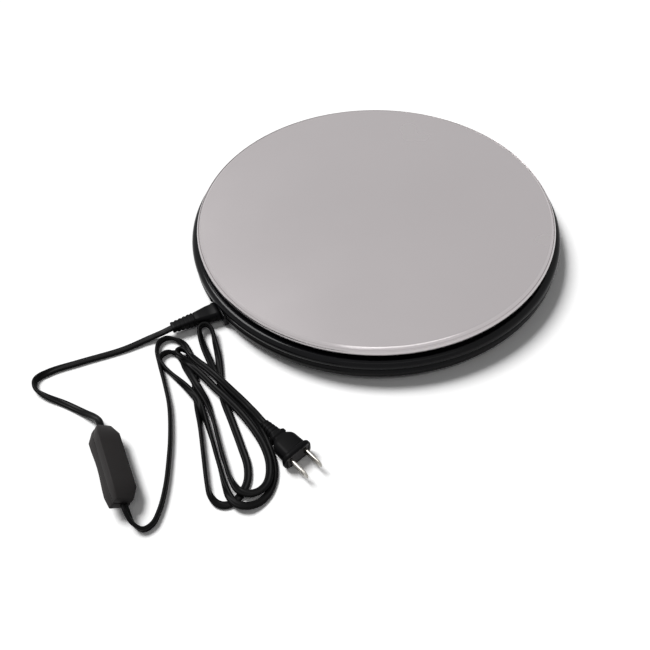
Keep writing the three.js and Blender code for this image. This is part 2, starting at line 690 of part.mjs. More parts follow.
const connectorRelief = cut(
  tapered([
    [reliefFoot, 4.8, 3.7],
    [reliefEnd - 2, 3.7, 2.9],
    [reliefEnd, 3.4, 2.6],
  ]),
  ...grooves(reliefFoot + 2, reliefEnd - 1, 5, 1.2, [3, 2.2]),
);
piece("connector_relief", inletAt(connectorRelief), satinBlack, inletFrame);

// ---- inline switch ------------------------------------------------------------------------------------
// Its own frame: X along the cord, Z out of the rocker's face, which looks down and away from the base.
const switchAxis = new THREE.Vector3(1, 0, 0).applyAxisAngle(
  new THREE.Vector3(0, 0, 1),
  radians(SWITCH_ANGLE),
);
const switchRight = switchAxis.clone().applyAxisAngle(new THREE.Vector3(0, 0, 1), Math.PI / 2);
const rockerWay = switchRight
  .clone()
  .multiplyScalar(-Math.sin(radians(SWITCH_ROLL)))
  .addScaledVector(new THREE.Vector3(0, 0, 1), -Math.cos(radians(SWITCH_ROLL)));
const switchAcross = rockerWay.clone().cross(switchAxis);
const switchHeight =
  (SWITCH_WIDTH * Math.sin(radians(SWITCH_ROLL)) + SWITCH_THICKNESS * Math.cos(radians(SWITCH_ROLL))) / 2;
const switchFrame = new THREE.Group();
switchFrame.quaternion.setFromRotationMatrix(
  new THREE.Matrix4().makeBasis(switchAxis, switchAcross, rockerWay),
);
switchFrame.position.set(...SWITCH_CENTRE, switchHeight + 0.1);
turntable.add(switchFrame);

const halfLength = SWITCH_LENGTH / 2;
const halfWidth = SWITCH_WIDTH / 2;
const halfTip = SWITCH_TIP_WIDTH / 2;
const halfThick = SWITCH_THICKNESS / 2;
const switchPlan = raised(
  [
    [-halfLength, -halfTip],
    [-halfLength + SWITCH_TAPER, -halfWidth],
    [halfLength - SWITCH_TAPER, -halfWidth],
    [halfLength, -halfTip],
    [halfLength, halfTip],
    [halfLength - SWITCH_TAPER, halfWidth],
    [-halfLength + SWITCH_TAPER, halfWidth],
    [-halfLength, halfTip],
  ],
  -halfThick - 1,
  halfThick + 1,
);
const switchSide = (outline) =>
  raised(outline, -halfWidth - 1, halfWidth + 1).rotateX(Math.PI / 2);
const split = GAP / 2;
const pocket = [halfLength - SWITCH_TAPER - SWITCH_WALL, halfWidth - SWITCH_WALL];
const dipFace = halfThick - SWITCH_DIP;
const upperBlank = common(
  switchPlan,
  switchSide([
    [-halfLength, split],
    [halfLength, split],
    [halfLength, halfThick - 2.5],
    [halfLength - SWITCH_TAPER, halfThick],
    [ROCKER_LENGTH / 2 + 5, halfThick - 0.5],
    [ROCKER_LENGTH / 2, dipFace],
    [-ROCKER_LENGTH / 2, dipFace],
    [-ROCKER_LENGTH / 2 - 5, halfThick - 0.5],
    [-halfLength + SWITCH_TAPER, halfThick],
    [-halfLength, halfThick - 2.5],
  ]),
);
const cheek = (side) =>
  block(
    [-3.5, 3.5],
    side > 0 ? [ROCKER_WIDTH / 2 + 0.4, pocket[1] + 0.5] : [-pocket[1] - 0.5, -ROCKER_WIDTH / 2 - 0.4],
    [0.6, dipFace - 0.5],
  );
const switchScrewPost = (radius, foot, top) =>
  post(radius, foot, top, TINY_ROUND).translate(SWITCH_SCREW_PLACE, 0, 0);
const pivotPlaced = (geometry) => geometry.translate(0, 0, ROCKER_PIVOT_HEIGHT);
const rodY = (radius, half) => post(radius, -half, half, TINY_ROUND).rotateX(Math.PI / 2);
const upperShell = cut(
  joined(
    cut(upperBlank, block([-pocket[0], pocket[0]], [-pocket[1], pocket[1]], [-1, dipFace - SWITCH_WALL])),
    cheek(-1),
    cheek(1),
    switchScrewPost(3.4, split, dipFace - 1),
  ),
  block(
    [-ROCKER_LENGTH / 2 - 1.2, ROCKER_LENGTH / 2 + 1.2],
    [-ROCKER_WIDTH / 2 - 0.4, ROCKER_WIDTH / 2 + 0.4],
    [-1, halfThick + 1],
  ),
  pivotPlaced(rodY(ROCKER_PIVOT_RADIUS + GAP, pocket[1] - 0.1)),
  switchScrewPost(1.4, -1, halfThick + 1),
  switchScrewPost(2.9, dipFace - 1.9, halfThick + 1),
);
piece("switch_upper_shell", upperShell, switchBlack, switchFrame);

const lowerBlank = common(
  switchPlan,
  switchSide([
    [-halfLength, -split],
    [-halfLength, -halfThick + 2.5],
    [-halfLength + SWITCH_TAPER, -halfThick],
    [halfLength - SWITCH_TAPER, -halfThick],
    [halfLength, -halfThick + 2.5],
    [halfLength, -split],
  ]),
);
const lowerShell = cut(
  joined(
    cut(lowerBlank, block([-pocket[0], pocket[0]], [-pocket[1], pocket[1]], [-halfThick + SWITCH_WALL, 1])),
    switchScrewPost(3, -halfThick + 1, -split),
  ),
  switchScrewPost(1.4, -halfThick + 2.2, 1),
);
piece("switch_lower_shell", lowerShell, switchBlack, switchFrame);
piece(
  "switch_screw",
  screw(1.1, 2.4, 0, 1.3, 9)
    .rotateX(Math.PI)
    .translate(SWITCH_SCREW_PLACE, 0, dipFace - 0.3),
  zincSteel,
  switchFrame,
);

const rockerBlank = raised(
  [
    [-ROCKER_LENGTH / 2, -2],
    [ROCKER_LENGTH / 2, -2],
    [ROCKER_LENGTH / 2, 4.2],
    [0, 3],
    [-ROCKER_LENGTH / 2, 4.2],
  ],
  -ROCKER_WIDTH / 2,
  ROCKER_WIDTH / 2,
).rotateX(Math.PI / 2);
const rocker = joined(rockerBlank, rodY(ROCKER_PIVOT_RADIUS, pocket[1] - 0.5)).rotateY(
  radians(ROCKER_TILT),
);
piece("switch_rocker", pivotPlaced(rocker), satinBlack, switchFrame);

// ---- plug ---------------------------------------------------------------------------------------------
const plugFrame = new THREE.Group();
plugFrame.position.set(...PLUG_START, PLUG_HEIGHT);
plugFrame.rotation.z = radians(PLUG_ANGLE);
turntable.add(plugFrame);
const flangeFoot = PLUG_LENGTH - PLUG_FLANGE;
const slotDepth = PLUG_LENGTH - BLADE_ROOT;
const bladeSides = [-BLADE_SPACING / 2, BLADE_SPACING / 2];
const plugBody = cut(
  tapered([
    [0, 3.4, 2.5],
    [PLUG_RELIEF_LENGTH - 1, 5.2, 4],
    [PLUG_RELIEF_LENGTH, 6.4, 5.1],
    [PLUG_RELIEF_LENGTH + 2.4, 6.5, 5.2],
    [PLUG_RELIEF_LENGTH + 3.4, 6, 5],
    [flangeFoot - 8, 8.6, 5.8],
    [flangeFoot - 0.5, 10.2, 6.4],
    [flangeFoot, 12, 7.4],
    [PLUG_LENGTH - 0.6, 12, 7.4],
    [PLUG_LENGTH, 11.2, 6.8],
  ]),
  ...grooves(1.5, PLUG_RELIEF_LENGTH - 1, 5, 1.1, [2.8, 2]),
  ...bladeSides.map((side) =>
    block(
      [slotDepth - GAP, PLUG_LENGTH + 1],
      [side - BLADE_THICKNESS / 2 - GAP, side + BLADE_THICKNESS / 2 + GAP],
      [-BLADE_WIDTH / 2 - GAP, BLADE_WIDTH / 2 + GAP],
    ),
  ),
);
piece("plug_body", plugBody, satinBlack, plugFrame);
const bladeTip = PLUG_LENGTH + BLADE_LENGTH;
const blade = cut(
  raised(
    [
      [slotDepth, -BLADE_WIDTH / 2],
      [bladeTip - 2.5, -BLADE_WIDTH / 2],
      [bladeTip, -BLADE_WIDTH / 2 + 1.8],
      [bladeTip, BLADE_WIDTH / 2 - 1.8],
      [bladeTip - 2.5, BLADE_WIDTH / 2],
      [slotDepth, BLADE_WIDTH / 2],
    ],
    -BLADE_THICKNESS / 2,
    BLADE_THICKNESS / 2,
  ),
  post(1.6, -2, 2, TINY_ROUND).translate(bladeTip - 5, 0, 0),
).rotateX(Math.PI / 2);
bladeSides.forEach((side, i) =>
  piece(`plug_blade_${i + 1}`, blade.clone().translate(0, side, 0), nickel, plugFrame),
);

// ---- cord ---------------------------------------------------------------------------------------------
const CORD_LIE = 2.5; // height of the cord's middle where it lies flat
const cordToSwitch = [
  [-168.8, -98.6, 7.6],
  [-177, -102, 6],
  [-187, -104.5, 3.2],
  [-208, -114, CORD_LIE],
  [-240, -124.5, CORD_LIE],
  [-262.5, -133, CORD_LIE],
  [-271.5, -141, CORD_LIE],
  [-270, -149, CORD_LIE],
  [-262, -155.5, CORD_LIE],
  [-245, -164, CORD_LIE],
  [-229, -173.5, 3.4],
  [-219.5, -180.5, 7.2],
  [-213.8, -187.3, 10.8],
  [-211.1, -194.1, 11.4],
];
piece("cord_to_switch", tube(cordToSwitch, CORD_RADIUS, 19), cordBlack);

const cordToHank = [
  [-186.9, -255.8, 11.4],
  [-184.4, -261.4, 10.2],
  [-180.4, -267.6, 5.8],
  [-174.2, -270.6, 3],
  [-168.4, -267, CORD_LIE],
  [-164.6, -257, CORD_LIE],
  [-162.2, -240, CORD_LIE],
  [-161.8, -218, CORD_LIE],
  [-162.6, -197, CORD_LIE],
  [-165.6, -172, CORD_LIE],
  [-171, -151, CORD_LIE],
  [-176.4, -133, CORD_LIE],
  [-180.2, -118, CORD_LIE],
  [-179.2, -109.5, CORD_LIE],
  [-174, -105.4, CORD_LIE],
  [-166.8, -106.4, 2.8],
  [-160.5, -110.7, 3.2],
];
piece("cord_to_hank", tube(cordToHank, CORD_RADIUS, 24), cordBlack);

const hankOutline = [
  [-158.6, -108.7],
  [-162, -113.1],
  [-168.5, -119.5],
  [-172, -126],
  [-171.5, -134],
  [-166, -146],
  [-157, -155.5],
  [-149, -166],
  [-144.5, -190.5],
  [-139.5, -222],
  [-135.5, -246],
  [-129, -256],
  [-118, -259.5],
  [-104, -259.5],
  [-92.5, -253],
  [-86, -243],
  [-84.6, -229],
  [-88.5, -216],
  [-94.2, -205],
  [-98.8, -199],
  [-103, -190],
  [-108.2, -178.6],
  [-104.2, -175],
  [-118, -157],
  [-126, -141],
  [-131, -112],
  [-136.6, -97.4],
  [-141.8, -96.2],
  [-148, -100],
  [-148, -112],
  [-145.5, -122],
  [-149.5, -121],
];
piece("cord_hank", raised(hankOutline, 0.1, HANK_HEIGHT), cordBlack);

const cordToPlug = [
  [-105.7, -177.4, 4.4],
  [-101, -184, 6],
  [-97.2, -190, 7.2],
  [-94.65, -193.65, 7.55],
];
piece("cord_to_plug", tube(cordToPlug, CORD_RADIUS, 3), cordBlack);

export default turntable;
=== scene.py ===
import math

import bpy
from bpy.props import BoolProperty, FloatProperty, FloatVectorProperty, IntProperty, PointerProperty
from mathutils import Matrix, Vector


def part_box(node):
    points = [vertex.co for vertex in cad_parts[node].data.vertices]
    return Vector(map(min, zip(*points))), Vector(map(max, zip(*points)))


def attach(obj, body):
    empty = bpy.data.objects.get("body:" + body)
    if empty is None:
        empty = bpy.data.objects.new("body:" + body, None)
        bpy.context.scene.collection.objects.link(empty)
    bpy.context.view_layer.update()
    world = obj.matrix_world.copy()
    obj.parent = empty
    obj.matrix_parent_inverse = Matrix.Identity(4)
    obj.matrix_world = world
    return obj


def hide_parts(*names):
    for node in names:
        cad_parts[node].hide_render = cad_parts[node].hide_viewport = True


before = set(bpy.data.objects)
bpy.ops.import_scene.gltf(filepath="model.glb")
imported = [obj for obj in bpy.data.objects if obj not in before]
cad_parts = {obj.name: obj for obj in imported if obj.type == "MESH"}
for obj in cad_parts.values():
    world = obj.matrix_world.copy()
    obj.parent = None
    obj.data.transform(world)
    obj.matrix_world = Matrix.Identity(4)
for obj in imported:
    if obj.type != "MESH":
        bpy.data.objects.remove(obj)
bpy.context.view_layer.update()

bl_info = {
    "name": "Motorised Turntable Wheel",
    "version": (1, 0, 0),
    "blender": (4, 5, 0),
    "location": "3D View > Sidebar > Turntable",
    "description": "Builds a motorised turntable wheel with its connector, inline switch, flat cord and plug",
    "category": "Add Mesh",
}

MM = 0.001

# ---- places that follow the frame -----------------------------------------------------------------------
PLATTER_LOW, PLATTER_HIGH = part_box("platter")
COVER_LOW, COVER_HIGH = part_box("top_cover")
PAN_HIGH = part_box("base_pan")[1]
FOOT_LOW, FOOT_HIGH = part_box("foot_1")
SCREW_LOW, SCREW_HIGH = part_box("cover_screw_1")
INLET_ANGLE = math.radians(204)  # the way that the connector leaves the base
INLET_OFFSET = 21.3 * MM
INLET_FACE = 155 * MM  # flat face of the boss, from the platter's axis
INLET_HEIGHT = 7.6 * MM
ROLLER_ANGLES = (15, 105, 195, 285)
ROLLER_CIRCLE = 125 * MM
ROLLER_HEIGHT = 25 * MM
AXLE_BORE = 1.8 * MM
SCREW_BORE = 1.6 * MM
SPINDLE_BORE = 6.3 * MM
PAN_UNDERSIDE = FOOT_LOW.z + 3 * MM
SWITCH_CENTRE = Vector((-199, -225, 11.44)) * MM
SWITCH_ANGLE = math.radians(-68.5)
SWITCH_ROLL = math.radians(40)
SWITCH_SCREW = Matrix.Translation((19 * MM, 0, 0))  # along the switch
PLUG_START = Vector((-94.3, -194.1, 7.6)) * MM
PLUG_ANGLE = math.radians(-49.5)
BLADE_OFFSETS = (-6.35 * MM, 6.35 * MM)
TURN = 2 * math.pi
NUMBERS = (1, 2, 3, 4)  # of the feet, and of the cover's screws
WHITE = (1, 1, 1, 1)


# ---- what a user would change ---------------------------------------------------------------------------
def millimetres(name, description, default, **limits):
    """A length, whose default is given in millimetres."""
    return FloatProperty(name=name, description=description, default=default * MM, unit="LENGTH", **limits)


def colour(name, description, default):
    return FloatVectorProperty(
        name=name, description=description, default=default, subtype="COLOR", min=0, max=1)


class TurntableSizes(bpy.types.PropertyGroup):
    """Sizes of the wheel's own pieces."""

    platter_edge: millimetres(
        "Shoulder width", "Width of the platter's sloping shoulder", 2, min=0.0005, max=0.008)
    platter_drop: millimetres(
        "Shoulder drop", "How far the shoulder falls to the groove", 1.25, min=0.0005, max=0.0014)
    platter_round: millimetres(
        "Edge round", "Radius of the round below the shoulder's groove", 3.6, min=0.001, max=0.005)
    platter_sheet: millimetres("Platter sheet", "Thickness of the platter's sheet", 2.5)
    platter_rim: millimetres("Platter rim", "Thickness of the platter's rim", 3)
    deck_height: millimetres("Deck height", "Top face of the cover, over the table", 22.5)
    lip_radius: millimetres("Lip radius", "Radius of the cover's rounded lip", 4.4)
    shell: millimetres("Shell", "Wall of the pan and of the cover", 2.2)
    cord_width: millimetres("Cord width", "Width of the flat twin cord", 5.7)
    turned_steps: IntProperty(
        name="Turned steps", description="Steps around the large turned pieces", default=224, min=48, max=512)


class TurntableFinishes(bpy.types.PropertyGroup):
    """Colours of the wheel's finishes."""

    aluminium: colour("Aluminium", "Satin anodised aluminium of the platter", (0.43, 0.405, 0.41))
    gloss_black: colour("Gloss black", "Polished plastic of the base", (0.0045, 0.0045, 0.0055))
    satin_black: colour(
        "Satin black", "Moulded plastic of the connector and the plug", (0.0042, 0.0042, 0.0046))
    cord_black: colour("Cord black", "Jacket of the flat cord", (0.0045, 0.0045, 0.0048))
    switch_black: colour(
        "Switch charcoal", "Textured plastic of the inline switch", (0.028, 0.0258, 0.0258))


class TurntableStage(bpy.types.PropertyGroup):
    """The camera and the lights."""

    camera_place: FloatVectorProperty(
        name="Camera place", description="Where the camera stands", default=(-0.04699, -0.51761, 0.49057),
        subtype="TRANSLATION", unit="LENGTH")
    camera_tilt: FloatProperty(
        name="Camera tilt", description="Angle of the view from straight down", default=math.radians(40.61),
        subtype="ANGLE")
    camera_roll: FloatProperty(
        name="Camera roll", description="Turn of the camera about its view", default=math.radians(-2.77),
        subtype="ANGLE")
    lens: FloatProperty(
        name="Lens", description="Focal length in millimetres on a 36 mm sensor", default=44.31)
    ambient: FloatProperty(
        name="Ambient", description="Strength of the soft light from all round", default=0.12)
    key: FloatProperty(name="Key", description="Strength of the key light", default=2.7)
    edge: FloatProperty(
        name="Edge light", description="Power of the strip that the rounded edges catch", default=2.1,
        unit="POWER")
    show_floor: BoolProperty(name="Floor", description="Lay the pale floor under the wheel", default=True)


# ---- modelling helpers ----------------------------------------------------------------------------------
def object_mode():
    if bpy.context.object and bpy.context.object.mode != "OBJECT":
        bpy.ops.object.mode_set(mode="OBJECT")
    bpy.ops.object.select_all(action="DESELECT")


def only(piece):
    """Makes one piece the selected and active one."""
    object_mode()
    piece.select_set(True)
    bpy.context.view_layer.objects.active = piece


def arc(centre, radius, start, end, count):
    """Points on an arc of (radius, height) places, both ends with it; the angles are in degrees."""
    return [
        (centre[0] + radius * math.cos(math.radians(start + (end - start) * i / (count - 1))),
         centre[1] + radius * math.sin(math.radians(start + (end - start) * i / (count - 1))))
        for i in range(count)
    ]


def faces_out(piece):
    """Turns the faces of the piece in edit mode outward, and leaves that mode."""
    bpy.ops.mesh.select_all(action="SELECT")
    bpy.ops.mesh.normals_make_consistent(inside=False)
    bpy.ops.object.mode_set(mode="OBJECT")
    return piece


def loop_of(name, places, fill="NOTHING"):
    """A closed loop through places, selected in edit mode."""
    object_mode()
    bpy.ops.mesh.primitive_circle_add(vertices=len(places), radius=1, fill_type=fill)
    piece = bpy.context.object
    piece.name = name
    for vertex, place in zip(piece.data.vertices, places):
        vertex.co = place
    bpy.ops.object.mode_set(mode="EDIT")
    bpy.ops.mesh.select_all(action="SELECT")
    return piece


def turned(name, outline, steps):
    """A closed outline of (radius, height) points, spun about Z."""
    piece = loop_of(name, [(radius, 0, height) for radius, height in outline])
    bpy.ops.mesh.spin(steps=steps, angle=TURN, center=(0, 0, 0), axis=(0, 0, 1))
    bpy.ops.mesh.select_all(action="SELECT")
    bpy.ops.mesh.remove_doubles(threshold=1e-6)
    bpy.ops.mesh.delete_loose(use_verts=True, use_edges=True, use_faces=False)
    return faces_out(piece)


def block(name, x, y, z):
    """A box between two places on each axis."""
    object_mode()
    bpy.ops.mesh.primitive_cube_add(size=1)
    piece = bpy.context.object
    piece.name = name
    piece.dimensions = (x[1] - x[0], y[1] - y[0], z[1] - z[0])
    piece.location = ((x[0] + x[1]) / 2, (y[0] + y[1]) / 2, (z[0] + z[1]) / 2)
    bpy.ops.object.transform_apply()
    return piece


def rod(name, radius, start, end):
    """A round bar along X."""
    object_mode()
    bpy.ops.mesh.primitive_cylinder_add(
        vertices=32, radius=radius, depth=end - start, location=((start + end) / 2, 0, 0),
        rotation=(0, math.pi / 2, 0))
    piece = bpy.context.object
    piece.name = name
    bpy.ops.object.transform_apply()
    return piece


def rod_up(name, radius, foot, top):
    """A round post along Z."""
    return placed(rod(name, radius, foot, top), Matrix.Rotation(-math.pi / 2, 4, "Y"))


CORNER_TURN = 7  # points round each corner of a section


def rounded_section(half_width, half_height, corner):
    """Points round a rectangle with round corners, in Y and Z."""
    reach = min(corner, half_width, half_height)
    points = []
    for index, (side, lift) in enumerate(((1, 1), (-1, 1), (-1, -1), (1, -1))):
        centre = (side * (half_width - reach), lift * (half_height - reach))
        for step in range(CORNER_TURN):
            angle = math.pi / 2 * (index + step / (CORNER_TURN - 1))
            points.append((centre[0] + reach * math.cos(angle), centre[1] + reach * math.sin(angle)))
    return points


def stations(start, *rows):
    """Stations of a bar, from millimetres past its start and half its width and height there."""
    return [(start + x * MM, across * MM, up * MM) for x, across, up in rows]


def lofted(name, course, corner):
    """A bar along X with a rounded section: each station of its course is (x, half width, half height)."""
    start, half_width, half_height = course[0]
    section = rounded_section(half_width, half_height, corner)
    piece = loop_of(name, [(start, across, up) for across, up in section], "NGON")
    for before, after in zip(course, course[1:]):
        bpy.ops.mesh.extrude_region_move(TRANSFORM_OT_translate={"value": (after[0] - before[0], 0, 0)})
        bpy.ops.transform.resize(
            value=(1, after[1] / before[1], after[2] / before[2]), center_override=(after[0], 0, 0))
    return faces_out(piece)


def ribbed(name, start, end, first, last, count):
    """A tapering strain relief: ribs with round-bottomed grooves between them."""
    pitch = (end - start) / (count + 0.5)
    course = []

    def station(x, depth):
        share = (x - start) / (end - start)
        across = first[0] + share * (last[0] - first[0]) - depth
        up = first[1] + share * (last[1] - first[1]) - 0.7 * depth
        course.append((x, across, up))

    station(start, 0.3 * MM)
    station(start + 0.3 * MM, 0)
    for index in range(count):
        groove = start + (index + 0.62) * pitch
        station(groove - 0.24 * pitch, 0)
        station(groove - 0.16 * pitch, 0.45 * MM)
        station(groove + 0.16 * pitch, 0.45 * MM)
        station(groove + 0.24 * pitch, 0)
    station(end - 0.3 * MM, 0)
    station(end, 0.3 * MM)
    return lofted(name, course, 2.2 * MM)


def placed(piece, matrix):
    """Puts a piece in its place and writes the place into its mesh."""
    only(piece)
    piece.matrix_world = matrix
    bpy.ops.object.transform_apply()
    return piece


def copied(piece, name):
    """A copy with a mesh of its own."""
    only(piece)
    bpy.ops.object.duplicate()
    copy = bpy.context.object
    copy.name = name
    return copy


def modified(piece, kind, **values):
    """Adds a modifier, sets it and applies it."""
    only(piece)
    modifier = piece.modifiers.new(kind.lower(), kind)
    for key, value in values.items():
        setattr(modifier, key, value)
    bpy.ops.object.modifier_apply(modifier=modifier.name)
    return piece


def combined(piece, tool, place, operation):
    """Puts a tool in its place, joins it to a piece or cuts it out, and removes it."""
    modified(piece, "BOOLEAN", operation=operation, solver="EXACT", object=placed(tool, place))
    bpy.data.objects.remove(tool)
    return piece


def merged(piece, tool, place=Matrix()):
    return combined(piece, tool, place, "UNION")


def cut(piece, tool, place=Matrix()):
    return combined(piece, tool, place, "DIFFERENCE")


def sliced(piece, stops):
    """Cuts a piece across at places along X, so that it can be bent there."""
    only(piece)
    bpy.ops.object.mode_set(mode="EDIT")
    for x in stops:
        bpy.ops.mesh.select_all(action="SELECT")
        bpy.ops.mesh.bisect(plane_co=(x, 0, 0), plane_no=(1, 0, 0))
    bpy.ops.object.mode_set(mode="OBJECT")


def softened(piece, width, segments=3, angle=30):
    """Rounds the sharp edges."""
    return modified(
        piece, "BEVEL", width=width, segments=segments, limit_method="ANGLE", angle_limit=math.radians(angle),
        harden_normals=False, miter_outer="MITER_ARC", use_clamp_overlap=True)


def finished(piece, body, slot, finish, *nodes, angle=35):
    """Shades a piece, gives it its finish and its body, and hides the nodes that it stands for."""
    only(piece)
    bpy.ops.object.shade_smooth_by_angle(angle=math.radians(angle))
    piece.data.materials.clear()
    piece.data.materials.append(finish)
    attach(piece, body)
    if nodes:
        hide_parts(*nodes)
    return piece


def turn_about_z(angle):
    return Matrix.Rotation(angle, 4, "Z")


def under_node(node):
    """The place on the table under the middle of a node."""
    low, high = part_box(node)
    centre = (low + high) / 2
    return Matrix.Translation((centre.x, centre.y, 0))


def inlet_place():
    """X out of the base along the connector's axis, the origin on that axis abreast of the platter's."""
    return turn_about_z(INLET_ANGLE) @ Matrix.Translation((0, INLET_OFFSET, INLET_HEIGHT))


def plug_place():
    return Matrix.Translation(PLUG_START) @ turn_about_z(PLUG_ANGLE)


def switch_place():
    """X along the cord, Z out of the rocker's face, which looks down and away from the base."""
    along = Vector((math.cos(SWITCH_ANGLE), math.sin(SWITCH_ANGLE), 0))
    right = Vector((-along.y, along.x, 0))
    out = -math.sin(SWITCH_ROLL) * right - math.cos(SWITCH_ROLL) * Vector((0, 0, 1))
    across = out.cross(along)
    turn = Matrix((along, across, out)).transposed().to_4x4()
    return Matrix.Translation(SWITCH_CENTRE) @ turn


# ---- finishes -------------------------------------------------------------------------------------------
def set_inputs(tree, node, **values):
    """Sets a node's inputs, or links them: an underscore stands for a space in an input's name."""
    for key, value in values.items():
        socket = node.inputs[key.replace("_", " ")]
        if isinstance(value, bpy.types.NodeSocket):
            tree.links.new(value, socket)
        else:
            socket.default_value = value
    return node


def added(tree, kind, **values):
    return set_inputs(tree, tree.nodes.new("ShaderNode" + kind), **values)


def shader(name):
    """A new material with its node tree and its Principled shader."""
    material = bpy.data.materials.new(name)
    material.use_nodes = True
    return material, material.node_tree, material.node_tree.nodes["Principled BSDF"]


def noise(tree, place, scale, detail):
    return added(tree, "TexNoise", Vector=place, Scale=scale, Detail=detail).outputs["Fac"]


def spread(tree, value, low, high):
    """Spreads the middle of a noise over a range."""
    return added(
        tree, "MapRange", Value=value, From_Min=0.3, From_Max=0.7, To_Min=low, To_Max=high).outputs["Result"]


def mottled(tree, value, tone, mottle):
    """A colour that a noise makes a little darker and lighter."""
    return added(
        tree, "MixRGB", Fac=value, Color1=(*(c * (1 - mottle) for c in tone), 1),
        Color2=(*(min(1, c * (1 + mottle)) for c in tone), 1)).outputs["Color"]


def bumped(tree, height, strength, distance, **under):
    return added(tree, "Bump", Height=height, Strength=strength, Distance=distance, **under).outputs["Normal"]


def moulded(name, tone, roughness, metallic=0.0, specular=0.5, uneven=0.05, grain=0.0006, depth=0.02,
            stretch=(1, 1, 1), mottle=0.12):
    """A finish with uneven gloss, a faint mottle and a fine grain: grain is its size in metres."""
    material, tree, surface = shader(name)
    place = added(tree, "TexCoord").outputs["Object"]
    place = added(tree, "Mapping", Vector=place, Scale=stretch).outputs["Vector"]
    broad = noise(tree, place, 38, 5)
    set_inputs(
        tree, surface, Metallic=metallic, Specular_IOR_Level=specular,
        Roughness=spread(tree, broad, roughness - uneven, roughness + uneven),
        Base_Color=mottled(tree, broad, tone, mottle),
        Normal=bumped(tree, noise(tree, place, 1 / grain, 2), 0.5, depth * MM))
    return material


def satin_aluminium(tone):
    """Blasted and anodised: a fine matt grain over faint turning marks that run round the axis."""
    material, tree, surface = shader("satin_aluminium")
    place = added(tree, "TexCoord").outputs["Object"]
    rings = added(tree, "TexWave", Vector=place, Scale=420, Distortion=3, Detail=3, Detail_Scale=0.02)
    rings.wave_type = "RINGS"
    rings.rings_direction = "Z"
    blast = noise(tree, place, 2600, 3)
    marks = bumped(tree, rings.outputs["Fac"], 0.12, 0.004 * MM)
    set_inputs(
        tree, surface, Metallic=1, Roughness=spread(tree, noise(tree, place, 9, 4), 0.235, 0.275),
        Base_Color=mottled(tree, blast, tone, 0.025),
        Normal=bumped(tree, blast, 0.3, 0.006 * MM, Normal=marks))
    return material


def polished_edge(tone):
    """The platter's rounded shoulder, smoother than the face, with fine marks along it; its colour is painted
    lighter than the face's as a painted highlight.
    """
    return moulded(
        # The tone raised by 1.12 is a painted highlight on the shoulder; the lower roughness is the real
        # polish.
        "polished_edge", [min(1, c * 1.12) for c in tone], 0.22, metallic=1, uneven=0.03, grain=0.0012,
        depth=0.002, stretch=(1, 1, 5), mottle=0.04)


def finishes():
    """Every finish of the wheel, made once."""
    if "satin_aluminium" in bpy.data.materials:
        return {m.name: m for m in bpy.data.materials}
    looks = bpy.context.scene.turntable_finishes
    satin_aluminium(looks.aluminium)
    polished_edge(looks.aluminium)
    moulded("polished_black", looks.gloss_black, 0.14, specular=0.1, uneven=0.03, grain=0.004, depth=0.006)
    moulded("moulded_black", looks.satin_black, 0.38, specular=0.04, grain=0.0004, depth=0.03)
    moulded("insert_grey", (0.06, 0.058, 0.06), 0.42, specular=0.15, grain=0.0004, depth=0.03)
    moulded("cord_jacket", looks.cord_black, 0.34, specular=0.045, uneven=0.06, grain=0.0011)
    moulded("switch_charcoal", looks.switch_black, 0.5, specular=0.08, grain=0.00045, depth=0.05)
    moulded("matt_rubber", (0.012, 0.012, 0.0125), 0.82, specular=0.12, uneven=0.08, grain=0.0005, depth=0.06)
    moulded("turned_steel", (0.45, 0.455, 0.46), 0.28, metallic=1, uneven=0.06, grain=0.0008, depth=0.01,
            stretch=(1, 1, 8))
    moulded("zinc_plate", (0.37, 0.375, 0.38), 0.38, metallic=1, uneven=0.09, grain=0.001, mottle=0.2)
    moulded("bright_nickel", (0.34, 0.325, 0.3), 0.24, metallic=1, uneven=0.08, grain=0.0009, depth=0.012,
            stretch=(1, 1, 3))
    moulded("white_nylon", (0.68, 0.665, 0.61), 0.5, grain=0.0009, mottle=0.05)
    moulded("blue_lead", (0.027, 0.08, 0.24), 0.45, grain=0.001)
    moulded("brown_lead", (0.1, 0.042, 0.02), 0.45, grain=0.001)
    return {m.name: m for m in bpy.data.materials}


# The finish of each node that keeps its own shape, by the start of its name.
KEPT_FINISHES = {
    "roller_axle_": "turned_steel", "spindle": "turned_steel", "spindle_clip": "zinc_plate",
    "lower_race": "turned_steel", "upper_race": "turned_steel", "ball_cage": "bright_nickel",
    "drive_disc": "white_nylon", "drive_screw_": "zinc_plate", "motor_can": "zinc_plate",
    "motor_gearbox": "zinc_plate", "motor_screw_": "zinc_plate", "motor_shaft": "turned_steel",
    "drive_wheel": "white_nylon", "drive_tyre": "matt_rubber", "inlet_body": "moulded_black",
    "inlet_pin_": "bright_nickel", "motor_lead_1": "blue_lead", "motor_lead_2": "brown_lead",
}


# ---- cords ----------------------------------------------------------------------------------------------
# Each point is x, y and height in millimetres, then the roll of the flat section in degrees:
# 0 lies flat and 90 stands on edge.
CORD_TO_SWITCH = [
    (-168.8, -98.6, 7.6, 0), (-177, -102, 6, 0), (-187, -104.5, 3.2, 0), (-208, -114, 1.6, 0),
    (-240, -124.5, 1.6, 0), (-262.5, -133, 2, -20), (-271.5, -141, 2.8, -75), (-270, -149, 2.8, -80),
    (-262, -155.5, 2.2, -40), (-245, -164, 1.6, -5), (-229, -173.5, 2.6, -5), (-219.5, -180.5, 6.4, -15),
    (-213.8, -187.3, 10.4, -30), (-211.1, -194.1, 11.4, -40),
]

